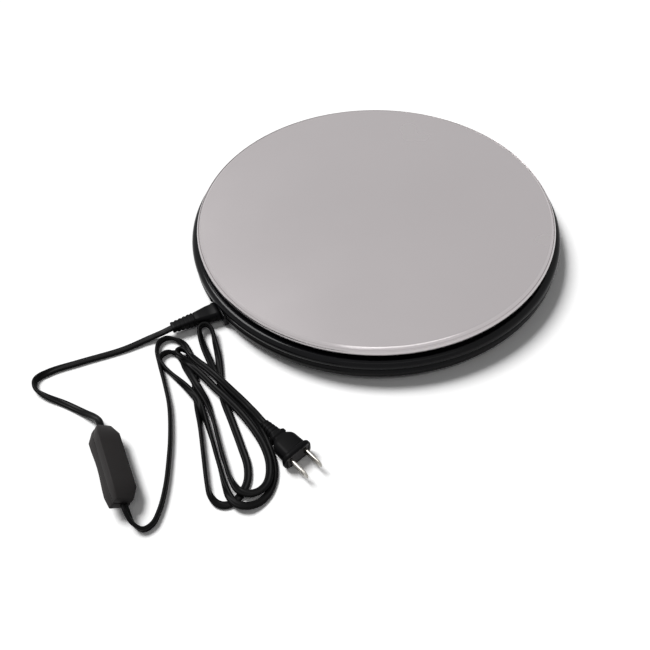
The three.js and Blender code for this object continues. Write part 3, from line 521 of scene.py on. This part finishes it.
# From the switch along the table, up beside the connector and down into the hank.
CORD_TO_HANK = [
    (-186.9, -255.8, 11.4, -40), (-184.4, -261.4, 10.2, -50), (-180.4, -267.6, 6.2, -75),
    (-174.2, -270.6, 3.4, -90), (-168.4, -267, 3, -90), (-164.6, -257, 3, -90), (-162.2, -240, 3, -90),
    (-161.8, -218, 3, -90), (-162.6, -197, 3, -90), (-165.6, -172, 3, -90), (-171, -151, 3, -90),
    (-176.4, -133, 3, -90), (-180.2, -118, 3, -90), (-179.2, -109.5, 3, -90), (-174, -105.4, 3, -80),
    (-166.8, -106.4, 2.6, -50), (-160.5, -110.7, 1.8, -15),
]
# The hank's turns in the order in which they lie on each other, 3 mm a layer.
FIRST_LOOP = [
    (-156.6, -116.7, 1.5, 0), (-152.4, -127.2, 1.5, 0), (-149.4, -140, 1.5, 0), (-147.3, -155.1, 1.5, 0),
    (-145, -169.1, 1.6, -15), (-141.5, -190.6, 2.9, -80), (-136.8, -220.2, 3, -90), (-133.7, -238.4, 3, -88),
    (-130.7, -247.6, 2.6, -50), (-126.4, -252.9, 1.8, -15), (-121.2, -254.8, 1.5, 0), (-116, -253.6, 1.5, 0),
    (-111.6, -249.6, 1.5, 0), (-107.9, -243.3, 1.5, 0), (-105.7, -235.5, 1.5, 0), (-106.3, -224.3, 1.5, 0),
    (-110.6, -210.2, 1.5, 0), (-118.3, -187.6, 1.5, 0), (-125.4, -167.5, 1.5, 0), (-128.3, -154.4, 1.5, 0),
    (-129.2, -143.9, 1.6, -10), (-131.2, -128.1, 2.2, -25), (-134.4, -113.4, 4, -55),
]
OUTER_LOOP = [
    (-137.6, -101, 6.2, -85), (-140.2, -97.4, 7.1, -90), (-143.9, -96.5, 7.3, -90), (-147, -99.2, 7, -85),
    (-146.6, -105.6, 5.6, -60), (-143, -117.4, 3.8, -25), (-137.8, -130.7, 3.6, -8), (-132.2, -144.6, 4.6, 0),
    (-125.5, -157.4, 4.4, 0), (-116, -169, 2.4, 0), (-106, -181.3, 1.5, 0), (-96.2, -197.5, 1.5, 0),
    (-90.3, -213.8, 1.5, 0), (-87.4, -227, 1.5, 0), (-87.7, -237.3, 1.5, 0), (-91.2, -247.4, 1.5, 0),
    (-97.2, -254.2, 2.2, 0), (-104.8, -257.4, 4.2, 0), (-111.4, -256.3, 4.6, 0), (-117, -250.6, 4.4, -15),
]
RISING_STRAND = [
    (-121.2, -240.4, 3.3, -60), (-125.9, -224.3, 3, -90), (-132, -203.4, 3, -90), (-138.6, -183.1, 3.4, -60),
    (-145.3, -167.3, 4.6, 0), (-155.3, -153.7, 3.4, -50), (-166.2, -142.1, 3, -90), (-173.6, -133.4, 3, -90),
    (-177.2, -126.6, 3, -90), (-175, -121.5, 3, -88), (-170.2, -119.3, 2.8, -65), (-164.6, -120.8, 1.9, -20),
    (-159.7, -126.8, 1.5, 0),
]
INNER_LOOP = [
    (-156.2, -135.4, 2.6, 0), (-151.8, -144, 4.3, 0), (-145.6, -155.4, 4.6, 0), (-138.4, -168.5, 3.6, -35),
    (-132.4, -184.9, 3, -80), (-127.6, -203.3, 3, -90), (-122.3, -221.8, 3, -90), (-117, -236.4, 3.6, -60),
    (-111.6, -245.2, 4.6, -10), (-104.8, -248.4, 4.6, 0), (-98.4, -247.4, 4.6, 0), (-93.3, -243.2, 4.6, 0),
    (-90.6, -236.3, 4.6, 0), (-90.6, -224.4, 4.6, 0), (-94.9, -210.2, 4.6, 0), (-102.8, -195.4, 4.6, 0),
    (-112.7, -180.9, 4.6, 0), (-122.8, -168.6, 4.6, 0), (-133.1, -156.9, 4.6, 0), (-142.1, -146, 4.6, 0),
    (-149.8, -137.4, 4.7, -5), (-155.4, -131.6, 5.2, -40),
]
FOLD_TO_PLUG = [
    (-159.6, -128, 5.9, -80), (-162.7, -125.3, 6, -90), (-163.8, -122.8, 6, -90), (-162.7, -120.4, 6, -90),
    (-160.1, -119.8, 6, -90), (-157, -121.8, 6.1, -85), (-152, -127.4, 6.8, -35), (-146.2, -134.2, 7.5, -5),
    (-138.2, -141.8, 7.7, 0),
    (-128.8, -151.9, 7.6, 0), (-119.3, -162, 6.2, 0), (-110.4, -171.6, 4.9, 0), (-105.7, -177.4, 4.7, 0),
    (-101, -184, 6, 0), (-97.2, -190, 7.2, 0), (-94.65, -193.65, 7.55, 0),
]
RING_STEP = 1.5 * MM
CURVE_STEPS = 24  # steps between two of the points
LOBE_TURN = 9  # points round each lobe of the section
LOBE_REACH = 112  # degrees to each side that a lobe's round goes


def smooth_route(points, width):
    """A smooth line through the points: its places in metres and its rolls in radians, evenly spaced.
    It never sinks the flat section into the table."""
    stops = [Vector((x, y, z, roll)) for x, y, z, roll in points]
    stops = [2 * stops[0] - stops[1], *stops, 2 * stops[-1] - stops[-2]]
    dense = []
    for a, b, c, d in zip(stops, stops[1:], stops[2:], stops[3:]):
        gaps = [max((q - p).xyz.length, 0.1) ** 0.5 for p, q in ((a, b), (b, c), (c, d))]
        leave = (b - a) / gaps[0] - (c - a) / (gaps[0] + gaps[1]) + (c - b) / gaps[1]
        reach = (c - b) / gaps[1] - (d - b) / (gaps[1] + gaps[2]) + (d - c) / gaps[2]
        leave, reach = leave * gaps[1], reach * gaps[1]
        for step in range(CURVE_STEPS):
            t = step / CURVE_STEPS
            dense.append(
                (2 * t**3 - 3 * t**2 + 1) * b + (t**3 - 2 * t**2 + t) * leave
                + (3 * t**2 - 2 * t**3) * c + (t**3 - t**2) * reach)
    dense.append(stops[-2])
    along = [0.0]
    for p, q in zip(dense, dense[1:]):
        along.append(along[-1] + (q - p).xyz.length)
    count = max(2, round(along[-1] * MM / RING_STEP))
    route = []
    at = 0
    for step in range(count + 1):
        goal = along[-1] * step / count
        while at < len(along) - 2 and along[at + 1] < goal:
            at += 1
        part = (goal - along[at]) / max(along[at + 1] - along[at], 1e-9)
        stop = dense[at].lerp(dense[at + 1], min(max(part, 0), 1))
        middle, roll = stop.xyz * MM, math.radians(stop.w)
        middle.z = max(middle.z, width / 4 * (1 + abs(math.sin(roll))))
        route.append((middle, roll))
    return route


def twin_section(width):
    """A figure of eight: two round cores side by side with a groove between them."""
    lobe = width / 4
    groove = 0.72 * lobe
    points = []
    for side in (1, -1):
        for step in range(LOBE_TURN):
            angle = math.radians(-LOBE_REACH + 2 * LOBE_REACH * step / (LOBE_TURN - 1))
            points.append((side * (lobe + lobe * math.cos(angle)), side * lobe * math.sin(angle)))
        points.append((0, side * groove))
    return points


def flat_cord(name, points, width):
    """A flat twin cord along a smooth route; returns it with the middle of its rings."""
    route = smooth_route(points, width)
    section = twin_section(width)
    sides = len(section)
    places, faces = [], []
    for index, (middle, roll) in enumerate(route):
        ahead = route[min(index + 1, len(route) - 1)][0] - route[max(index - 1, 0)][0]
        ahead.normalize()
        side = Vector((-ahead.y, ahead.x, 0)).normalized()
        lift = ahead.cross(side)
        wide = math.cos(roll) * side + math.sin(roll) * lift
        thick = ahead.cross(wide)
        places += [middle + across * wide + up * thick for across, up in section]
    for ring in range(len(route) - 1):
        here, there = ring * sides, (ring + 1) * sides
        for i in range(sides):
            j = (i + 1) % sides
            faces.append((here + i, there + i, there + j, here + j))
    faces.append(tuple(range(sides)))
    faces.append(tuple(reversed(range((len(route) - 1) * sides, len(route) * sides))))
    mesh = bpy.data.meshes.new(name)
    mesh.from_pydata(places, [], faces)
    piece = bpy.data.objects.new(name, mesh)
    bpy.context.collection.objects.link(piece)
    only(piece)
    bpy.ops.object.mode_set(mode="EDIT")
    return faces_out(piece), [middle for middle, _ in route]


# ---- operators ------------------------------------------------------------------------------------------
class TURNTABLE_OT_stage(bpy.types.Operator):
    """Set up the camera, the soft lights, the white surroundings and the pale floor"""

    bl_idname = "turntable.stage"
    bl_label = "Stage"

    def execute(self, context):
        stage = context.scene.turntable_stage
        context.scene.view_settings.view_transform = "Standard"
        camera = bpy.data.cameras.new("camera")
        camera.lens = stage.lens
        camera.sensor_width = 36
        camera.clip_start = 0.01
        viewer = bpy.data.objects.new("camera", camera)
        context.collection.objects.link(viewer)
        viewer.matrix_world = (
            Matrix.Translation(stage.camera_place)
            @ Matrix.Rotation(stage.camera_tilt, 4, "X")
            @ Matrix.Rotation(stage.camera_roll, 4, "Z"))
        context.scene.camera = viewer
        self.light_world(stage)
        self.hang_lamps(stage)
        if stage.show_floor:
            self.lay_floor()
        return {"FINISHED"}

    @staticmethod
    def seen_directly(tree):
        """1 on camera, glossy and transmission rays, and 0 on the others."""
        path = added(tree, "LightPath")
        seen = path.outputs["Is Camera Ray"]
        for ray in ("Is Glossy Ray", "Is Transmission Ray"):
            either = added(tree, "Math")
            either.operation = "MAXIMUM"
            tree.links.new(seen, either.inputs[0])
            tree.links.new(path.outputs[ray], either.inputs[1])
            seen = either.outputs["Value"]
        return seen

    def light_world(self, stage):
        world = bpy.data.worlds.new("white_room")
        bpy.context.scene.world = world
        world.use_nodes = True
        tree = world.node_tree
        soft = set_inputs(tree, tree.nodes["Background"], Color=WHITE, Strength=stage.ambient)
        bright = added(tree, "Background", Color=WHITE, Strength=1)
        mix = added(tree, "MixShader", Fac=self.seen_directly(tree))
        tree.links.new(soft.outputs["Background"], mix.inputs[1])
        tree.links.new(bright.outputs["Background"], mix.inputs[2])
        tree.links.new(mix.outputs["Shader"], tree.nodes["World Output"].inputs["Surface"])

    @staticmethod
    def hang_lamp(name, kind, shines_from, **values):
        light = bpy.data.lights.new(name, kind)
        for key, value in values.items():
            setattr(light, key, value)
        lamp = bpy.data.objects.new(name, light)
        bpy.context.collection.objects.link(lamp)
        lamp.rotation_euler = shines_from.to_track_quat("Z", "Y").to_euler()
        return lamp

    def hang_lamps(self, stage):
        """A soft key from the back left, and a strip over the camera for the rounded edges."""
        self.hang_lamp(
            "key", "SUN", Vector((-0.52, 0.44, 1)), energy=stage.key, angle=math.radians(26))
        place = Vector((0.25, -0.95, 1.7))
        strip = self.hang_lamp(
            "edge_strip", "AREA", place - Vector((0, 0, 0.02)), energy=stage.edge, shape="RECTANGLE",
            size=1.6, size_y=0.2)
        strip.location = place

    def lay_floor(self):
        object_mode()
        bpy.ops.mesh.primitive_plane_add(size=12)
        floor = bpy.context.object
        floor.name = "floor"
        material, tree, surface = shader("pale_floor")
        paint = added(
            tree, "MixRGB", Fac=self.seen_directly(tree), Color1=(0.8, 0.8, 0.8, 1),
            Color2=(1.25, 1.25, 1.25, 1))
        set_inputs(tree, surface, Roughness=0.9, Specular_IOR_Level=0, Base_Color=paint.outputs["Color"])
        floor.data.materials.append(material)


class TURNTABLE_OT_cords(bpy.types.Operator):
    """Lay the flat cord from the connector to the switch, and on through the hank to the plug"""

    bl_idname = "turntable.cords"
    bl_label = "Cords"

    def execute(self, context):
        width = context.scene.turntable_sizes.cord_width
        jacket = finishes()["cord_jacket"]
        short, path = flat_cord("cord_switch_run", CORD_TO_SWITCH, width)
        finished(short, "base", "cord_black", jacket, "cord_to_switch", angle=60)
        hank = [*CORD_TO_HANK, *FIRST_LOOP, *OUTER_LOOP, *RISING_STRAND, *INNER_LOOP, *FOLD_TO_PLUG]
        long, path = flat_cord("cord_hank_run", hank, width)
        finished(long, "base", "cord_black", jacket, "cord_to_hank", "cord_hank", "cord_to_plug", angle=60)
        return {"FINISHED"}


class TURNTABLE_OT_platter(bpy.types.Operator):
    """Turn the platter: a flat sheet with a rounded edge and a rim that hides the gap below"""

    bl_idname = "turntable.platter"
    bl_label = "Platter"

    def execute(self, context):
        sizes = context.scene.turntable_sizes
        radius, top, foot = PLATTER_HIGH.x, PLATTER_HIGH.z, PLATTER_LOW.z
        under = top - sizes.platter_sheet
        foot_round = 0.6 * MM
        inner = radius - sizes.platter_rim
        corner = sizes.platter_round
        ledge = top - sizes.platter_drop  # the shoulder's foot, where the thin groove runs round
        sweep = 50  # degrees of the round, from the rim up to the groove
        lip = radius - corner * (1 - math.cos(math.radians(sweep)))
        groove, groove_floor = lip - 0.65 * MM, ledge - 0.5 * MM
        shoulder = groove - sizes.platter_edge
        outline = [
            (0, under), (0.5 * radius, under), (inner - 1 * MM, under), (inner, under - 0.6 * MM),
            *arc((inner + foot_round, foot + foot_round), foot_round, 180, 270, 6),
            *arc((radius - foot_round, foot + foot_round), foot_round, -90, 0, 6),
            *arc((radius - corner, ledge - corner * math.sin(math.radians(sweep))), corner, 0, sweep, 9),
            (lip - 0.05 * MM, groove_floor), (groove + 0.45 * MM, groove_floor), (groove, ledge),
            (shoulder, top), (shoulder - 0.3 * MM, top), (shoulder - 3 * MM, top),
            (0.6 * radius, top), (0.3 * radius, top), (0, top),
        ]
        disc = turned("platter_disc", outline, sizes.turned_steps)
        finished(disc, "platter", "aluminium", finishes()["satin_aluminium"], "platter", angle=25)
        # The shoulder's faces take the edge finish, whose lighter tone is a painted highlight.
        disc.data.materials.append(finishes()["polished_edge"])
        for face in disc.data.polygons:
            beyond = face.center.xy.length > shoulder
            face.material_index = int(beyond and face.center.z > ledge - corner)
        return {"FINISHED"}


class TURNTABLE_OT_cover(bpy.types.Operator):
    """Mould the upper shell with its rounded lip, the roller lugs and their slots"""

    bl_idname = "turntable.cover"
    bl_label = "Upper shell"

    def execute(self, context):
        sizes = context.scene.turntable_sizes
        radius, foot = COVER_HIGH.x, COVER_LOW.z
        deck, shell, lip = sizes.deck_height, sizes.shell, sizes.lip_radius
        seam = PAN_HIGH.z + 0.3 * MM
        middle = (radius - lip, deck - lip)
        outline = [
            (0, deck - shell), (0.5 * radius, deck - shell), (radius - lip - 3 * MM, deck - shell),
            *arc(middle, lip - shell, 80, -40, 7),
            (radius - lip + 1.0 * MM, seam), (radius - lip + 2.2 * MM, seam),
            *arc(middle, lip, -62, 90, 17),
            (radius - lip - 2 * MM, deck), (0.5 * radius, deck), (0, deck),
        ]
        cover = turned("cover_shell", outline, sizes.turned_steps)
        self.add_lugs(cover, deck)
        self.add_pillars(cover, foot, deck - shell)
        cut(cover, rod_up("hole", SPINDLE_BORE, 0, 50 * MM))
        finished(cover, "base", "gloss_black", finishes()["polished_black"], "top_cover")
        return {"FINISHED"}

    @staticmethod
    def add_lugs(cover, deck):
        inner, thick, half = 4.8 * MM, 3 * MM, 4 * MM
        for angle in ROLLER_ANGLES:
            place = turn_about_z(math.radians(angle)) @ Matrix.Translation((ROLLER_CIRCLE, 0, 0))
            for x in ((inner, inner + thick), (-inner - thick, -inner)):
                lug = block("lug", x, (-half, half), (deck - 0.5 * MM, ROLLER_HEIGHT + 2.6 * MM))
                merged(cover, softened(lug, 0.5 * MM, 2), place)
            cut(cover, block("slot", (-inner, inner), (-5 * MM, 5 * MM), (18 * MM, deck + 1 * MM)), place)
            hole = rod("hole", AXLE_BORE, -12 * MM, 12 * MM)
            cut(cover, hole, place @ Matrix.Translation((0, 0, ROLLER_HEIGHT)))

    @staticmethod
    def add_pillars(cover, foot, under):
        for number in NUMBERS:
            place = under_node(f"cover_screw_{number}")
            merged(cover, rod_up("pillar", 4.5 * MM, foot, under + 0.5 * MM), place)
            cut(cover, rod_up("bore", SCREW_BORE, 0, under + 0.4 * MM), place)


class TURNTABLE_OT_pan(bpy.types.Operator):
    """Mould the lower shell with the flat boss that frames the connector"""

    bl_idname = "turntable.pan"
    bl_label = "Lower shell"

    def execute(self, context):
        sizes = context.scene.turntable_sizes
        radius, seam, under, shell = PAN_HIGH.x, PAN_HIGH.z, PAN_UNDERSIDE, sizes.shell
        floor = under + shell
        bend, brow = 6.4 * MM, 4.2 * MM
        belt = under + bend
        outline = [
            (0, under), (0.5 * radius, under), (radius - bend - 3 * MM, under),
            *arc((radius - bend, belt), bend, -90, 0, 13),
            *arc((radius - brow, belt), brow, 12, 62, 6),
            (radius - brow + 1.6 * MM, seam), (radius - brow - 0.4 * MM, seam),
            *arc((radius - bend, belt), bend - shell, 12, -90, 8),
            (0.5 * radius, floor), (0, floor),
        ]
        pan = turned("pan_shell", outline, sizes.turned_steps)
        place = turn_about_z(INLET_ANGLE)
        side = (INLET_OFFSET - 13 * MM, INLET_OFFSET + 13 * MM)
        boss = block("boss", (INLET_FACE - 21 * MM, INLET_FACE), side, (1.6 * MM, seam))
        merged(pan, softened(boss, 0.8 * MM, 3), place)
        trim = block("trim", (INLET_FACE, INLET_FACE + 20 * MM), side, (0, seam + 1 * MM))
        cut(pan, trim, place)
        window = block(
            "window", (INLET_FACE - 22 * MM, INLET_FACE + 1 * MM),
            (INLET_OFFSET - 9.7 * MM, INLET_OFFSET + 9.7 * MM),
            (INLET_HEIGHT - 5 * MM, INLET_HEIGHT + 5 * MM))
        cut(pan, window, place)
        for kind, bore in (("foot", 2.8 * MM), ("cover_screw", SCREW_BORE)):
            for number in NUMBERS:
                cut(pan, rod_up("hole", bore, 0, floor + 1 * MM), under_node(f"{kind}_{number}"))
        finished(pan, "base", "gloss_black", finishes()["polished_black"], "base_pan")
        return {"FINISHED"}


class TURNTABLE_OT_feet(bpy.types.Operator):
    """Turn the rubber feet and the screws that hold the shells together"""

    bl_idname = "turntable.feet"
    bl_label = "Feet and screws"

    def execute(self, context):
        radius, top = (FOOT_HIGH.x - FOOT_LOW.x) / 2, FOOT_HIGH.z
        shoulder = 2.7 * MM
        foot = turned("foot_pad", [
            (0, 0.25 * MM), (3.2 * MM, 0.25 * MM), (4 * MM, 0),
            *arc((radius - 1 * MM, 1 * MM), 1 * MM, -90, 0, 6),
            *arc((radius - 0.5 * MM, shoulder - 0.5 * MM), 0.5 * MM, 0, 90, 4),
            (2.5 * MM, shoulder), (2.5 * MM, top), (0, top)], 64)
        screw = self.cross_screw()
        for number in NUMBERS:
            for made, kind, slot, finish in (
                    (foot, "foot", "rubber", "matt_rubber"),
                    (screw, "cover_screw", "zinc_steel", "zinc_plate")):
                node = f"{kind}_{number}"
                copy = placed(copied(made, f"{made.name}_{number}"), under_node(node))
                finished(copy, "base", slot, finishes()[finish], node)
        bpy.data.objects.remove(foot)
        bpy.data.objects.remove(screw)
        return {"FINISHED"}

    @staticmethod
    def cross_screw():
        radius = (SCREW_HIGH.x - SCREW_LOW.x) / 2
        foot, top, seat = SCREW_LOW.z, SCREW_HIGH.z, 2.7 * MM
        screw = turned("shell_screw", [
            (0, foot), (0.55 * radius, foot), *arc((radius - 0.9 * MM, foot + 0.9 * MM), 0.9 * MM, -70, 0, 5),
            (radius, seat), (1.3 * MM, seat), (1.3 * MM, top - 1 * MM), (0.4 * MM, top), (0, top)], 40)
        for turn in (0, math.pi / 2):
            slot = block("slot", (-1.7 * MM, 1.7 * MM), (-0.35 * MM, 0.35 * MM), (0, foot + 1 * MM))
            cut(screw, slot, turn_about_z(turn))
        return screw


class TURNTABLE_OT_rollers(bpy.types.Operator):
    """Turn the support rollers under the platter's edge"""

    bl_idname = "turntable.rollers"
    bl_label = "Support rollers"

    def execute(self, context):
        radius, half, edge = 4.2 * MM, 4 * MM, 0.6 * MM
        roller = turned("support_roller", [
            (AXLE_BORE, -half), *arc((radius - edge, -half + edge), edge, -90, 0, 5),
            (radius, 0), *arc((radius - edge, half - edge), edge, 0, 90, 5), (AXLE_BORE, half)], 48)
        lie = Matrix.Rotation(math.pi / 2, 4, "Y")
        for index, angle in enumerate(ROLLER_ANGLES, 1):
            copy = copied(roller, f"support_roller_{index}")
            placed(copy, turn_about_z(math.radians(angle))
                   @ Matrix.Translation((ROLLER_CIRCLE, 0, ROLLER_HEIGHT)) @ lie)
            finished(copy, f"roller_{index}", "rubber", finishes()["matt_rubber"], f"roller_{index}")
        bpy.data.objects.remove(roller)
        return {"FINISHED"}


class TURNTABLE_OT_connector(bpy.types.Operator):
    """Mould the detachable connector and its ribbed strain relief"""

    bl_idname = "turntable.connector"
    bl_label = "Connector"

    def execute(self, context):
        face = INLET_FACE + 0.3 * MM
        body_end = INLET_FACE + 20.7 * MM
        barrel = lofted("connector_barrel", [
            *stations(face, (0, 7.5, 4.2), (0.5, 8.1, 4.6), (1.2, 8.2, 4.7), (3.6, 8.15, 4.7),
                      (4.2, 7.6, 4.45), (9, 7.3, 4.4)),
            *stations(body_end, (-4, 5.9, 4.2), (-0.8, 5.4, 4), (0, 5, 3.6))], 3.2 * MM)
        nose_tip = INLET_FACE - 10.6 * MM
        nose = [*stations(nose_tip, (0, 6.8, 3.3), (0.5, 7.1, 3.6)), *stations(face, (1, 7.1, 3.6))]
        merged(barrel, lofted("nose", nose, 3.4 * MM))
        for side in (-4.3 * MM, 4.3 * MM):
            bore = rod("bore", 1.45 * MM, nose_tip - 1 * MM, INLET_FACE - 1.8 * MM)
            cut(barrel, bore, Matrix.Translation((0, side, 0)))
        placed(barrel, inlet_place())
        finished(barrel, "base", "satin_black", finishes()["moulded_black"], "connector_body")

        start, end = body_end + 0.3 * MM, INLET_FACE + 40 * MM
        ribs = ribbed("connector_ribs", start, end, (5.6 * MM, 4.1 * MM), (4.3 * MM, 3.0 * MM), 5)
        placed(ribs, inlet_place())
        finished(ribs, "base", "satin_black", finishes()["moulded_black"], "connector_relief")
        return {"FINISHED"}


class TURNTABLE_OT_switch(bpy.types.Operator):
    """Mould the inline switch: two shells, the rocker between them and the screw"""

    bl_idname = "turntable.switch"
    bl_label = "Inline switch"

    def execute(self, context):
        length, width, thick, taper, tip = 65 * MM, 18 * MM, 14.5 * MM, 9 * MM, 11 * MM
        half, split = length / 2, 0.15 * MM
        looks = finishes()
        for name, node, side in (
                ("switch_top", "switch_upper_shell", 1), ("switch_bottom", "switch_lower_shell", -1)):
            shell = block(name, (-half, half), (-width / 2, width / 2),
                          (split, thick / 2) if side > 0 else (-thick / 2, -split))
            self.taper_ends(shell, half, taper, tip / width, side, thick)
            if side > 0:
                self.dish(shell, thick, half - taper)
            softened(shell, 0.9 * MM, 3, 24)
            if side > 0:
                opening = block("opening", (-9.7 * MM, 9.7 * MM), (-5.1 * MM, 5.1 * MM), (-10 * MM, 10 * MM))
                cut(shell, opening)
                cut(shell, rod_up("well", 2.9 * MM, thick / 2 - 3.4 * MM, 10 * MM), SWITCH_SCREW)
            placed(shell, switch_place())
            finished(shell, "base", "switch_black", looks["switch_charcoal"], node, angle=28)
        self.make_rocker(looks)
        self.make_screw(looks, thick)
        return {"FINISHED"}

    @staticmethod
    def taper_ends(shell, half, taper, narrow, side, thick):
        """Cuts the shell across in steps and draws its end faces in, less at the corner by the rocker."""
        between = [x * MM for x in (-17, -11, -5.5, 0, 5.5, 11, 17)]
        sliced(shell, [-half + taper, *between, half - taper])
        for vertex in shell.data.vertices:
            if abs(vertex.co.x) > half - 0.1 * MM:
                full = vertex.co.x > 0 and vertex.co.y > 0
                vertex.co.y *= 0.86 if full else narrow
                if abs(vertex.co.z) > thick / 4:
                    vertex.co.z -= side * (0.7 * MM if full and side > 0 else 2.5 * MM)

    @staticmethod
    def dish(shell, thick, reach):
        """Lowers the face around the rocker in one long hollow."""
        for vertex in shell.data.vertices:
            if vertex.co.z > thick / 4 and abs(vertex.co.x) < reach:
                vertex.co.z -= 1.7 * MM * math.cos(math.pi / 2 * vertex.co.x / reach) ** 2

    @staticmethod
    def make_rocker(looks):
        half, low, tall = 8.5 * MM, -2 * MM, 4.2 * MM
        rocker = block("switch_key", (-half, half), (-4.7 * MM, 4.7 * MM), (low, tall))
        sliced(rocker, (-4 * MM, 0, 4 * MM))
        for vertex in rocker.data.vertices:
            if vertex.co.z > 0:
                vertex.co.z -= 1.2 * MM * (1 - (vertex.co.x / half) ** 2)
        softened(rocker, 0.6 * MM, 3, 40)
        merged(rocker, rod("pivot", 1.3 * MM, -6.9 * MM, 6.9 * MM), turn_about_z(math.pi / 2))
        tilt = Matrix.Translation((0, 0, 3.2 * MM)) @ Matrix.Rotation(math.radians(8), 4, "Y")
        placed(rocker, switch_place() @ tilt)
        finished(rocker, "rocker", "satin_black", looks["moulded_black"], "switch_rocker")

    @staticmethod
    def make_screw(looks, thick):
        seat = thick / 2 - 1.8 * MM
        screw = turned("switch_bolt", [
            (0, seat - 9 * MM), (1.1 * MM, seat - 9 * MM), (1.1 * MM, seat - 1.3 * MM),
            (2.4 * MM, seat - 1.3 * MM),
            *arc((1.7 * MM, seat - 0.7 * MM), 0.7 * MM, 0, 80, 4), (0, seat)], 32)
        slot = block("slot", (-3 * MM, 3 * MM), (-0.3 * MM, 0.3 * MM), (seat - 0.6 * MM, seat + 1 * MM))
        cut(screw, slot)
        placed(screw, switch_place() @ SWITCH_SCREW)
        finished(screw, "base", "zinc_steel", looks["zinc_plate"], "switch_screw")


class TURNTABLE_OT_plug(bpy.types.Operator):
    """Mould the two-blade plug with its ribbed relief, collar, waist and flange"""

    bl_idname = "turntable.plug"
    bl_label = "Plug"

    def execute(self, context):
        looks = finishes()
        relief_end = 14 * MM
        ribs = ribbed("plug_moulding", 0, relief_end, (3.5 * MM, 2.6 * MM), (5.2 * MM, 4 * MM), 4)
        body = lofted("body", [
            *stations(relief_end, (-1, 5, 3.9), (0.2, 5, 3.9), (0.5, 6.3, 5), (1, 6.7, 5.3), (2.6, 6.7, 5.3),
                      (3.2, 6.1, 5)),
            *stations(0, (18.2, 6, 4.9), (19.6, 7.4, 5.4), (21.2, 8.8, 5.9), (23.2, 9.5, 6.2),
                      (33.2, 10, 6.4), (33.8, 11.6, 7.1), (34.4, 12, 7.4), (36.7, 12, 7.4),
                      (37.2, 11.7, 7.2), (37.5, 11.2, 6.8), (37.5, 9.6, 5.6), (37.1, 9.4, 5.4))],
            2.6 * MM)
        merged(ribs, body)
        for side in BLADE_OFFSETS:
            across = (side - 1.05 * MM, side + 1.05 * MM)
            cut(ribs, block("slot", (31.2 * MM, 39 * MM), across, (-3.45 * MM, 3.45 * MM)))
        placed(ribs, plug_place())
        finished(ribs, "base", "satin_black", looks["moulded_black"], "plug_body")
        ribs.data.materials.append(looks["insert_grey"])
        home = plug_place().inverted()
        for face in ribs.data.polygons:
            x, y, z = home @ face.center
            face.material_index = int(x > 37 * MM and abs(y) < 9.5 * MM and abs(z) < 5.5 * MM)
        for index, side in enumerate(BLADE_OFFSETS, 1):
            prong = self.blade(f"plug_prong_{index}")
            placed(prong, plug_place() @ Matrix.Translation((0, side, 0)))
            finished(prong, "base", "nickel", looks["bright_nickel"], f"plug_blade_{index}")
        return {"FINISHED"}

    @staticmethod
    def blade(name):
        """A flat blade with its corners cut back at the tip and a round hole near it."""
        root, tip, half, thick = 31.5 * MM, 54.5 * MM, 3.15 * MM, 0.75 * MM
        blade = block(name, (root, tip), (-thick, thick), (-half, half))
        sliced(blade, [tip - 2.5 * MM])
        for vertex in blade.data.vertices:
            if vertex.co.x > tip - 0.1 * MM:
                vertex.co.z *= 0.45
                vertex.co.y *= 0.7
        softened(blade, 0.2 * MM, 2, 20)
        place = Matrix.Translation((tip - 5 * MM, 0, 0)) @ turn_about_z(math.pi / 2)
        return cut(blade, rod("hole", 1.6 * MM, -2 * MM, 2 * MM), place)


class TURNTABLE_OT_works(bpy.types.Operator):
    """Give the bearing, the drive, the motor, the inlet and its leads their finishes"""

    bl_idname = "turntable.works"
    bl_label = "Inner works"

    def execute(self, context):
        looks = finishes()
        for node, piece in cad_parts.items():
            if piece.hide_render:
                continue
            keys = [key for key in KEPT_FINISHES if node.startswith(key)]
            if not keys:
                raise RuntimeError(f"{node} has no finish")
            piece.data.materials.clear()
            piece.data.materials.append(looks[KEPT_FINISHES[max(keys, key=len)]])
        return {"FINISHED"}


class TURNTABLE_PT_panel(bpy.types.Panel):
    """Lists the sizes, the finishes and the steps"""

    bl_label = "Motorised turntable"
    bl_idname = "TURNTABLE_PT_panel"
    bl_space_type = "VIEW_3D"
    bl_region_type = "UI"
    bl_category = "Turntable"

    def draw(self, context):
        layout = self.layout
        for group in ("turntable_stage", "turntable_sizes", "turntable_finishes"):
            values = getattr(context.scene, group)
            box = layout.box()
            for key in values.__annotations__:
                box.prop(values, key)
        for step in STEPS:
            layout.operator(step.bl_idname)


STEPS = (
    TURNTABLE_OT_stage, TURNTABLE_OT_cords, TURNTABLE_OT_platter, TURNTABLE_OT_cover, TURNTABLE_OT_pan,
    TURNTABLE_OT_feet, TURNTABLE_OT_rollers, TURNTABLE_OT_connector, TURNTABLE_OT_switch, TURNTABLE_OT_plug,
    TURNTABLE_OT_works,
)
CLASSES = (TurntableSizes, TurntableFinishes, TurntableStage, *STEPS, TURNTABLE_PT_panel)


def register():
    for entry in CLASSES:
        bpy.utils.register_class(entry)
    bpy.types.Scene.turntable_sizes = PointerProperty(type=TurntableSizes)
    bpy.types.Scene.turntable_finishes = PointerProperty(type=TurntableFinishes)
    bpy.types.Scene.turntable_stage = PointerProperty(type=TurntableStage)


def unregister():
    del bpy.types.Scene.turntable_stage
    del bpy.types.Scene.turntable_finishes
    del bpy.types.Scene.turntable_sizes
    for entry in reversed(CLASSES):
        bpy.utils.unregister_class(entry)


def main():
    register()
    bpy.ops.turntable.stage()
    bpy.ops.turntable.platter()
    bpy.ops.turntable.cover()
    bpy.ops.turntable.pan()
    bpy.ops.turntable.feet()
    bpy.ops.turntable.rollers()
    bpy.ops.turntable.connector()
    bpy.ops.turntable.switch()
    bpy.ops.turntable.plug()
    bpy.ops.turntable.cords()
    bpy.ops.turntable.works()


if __name__ == "__main__":
    main()
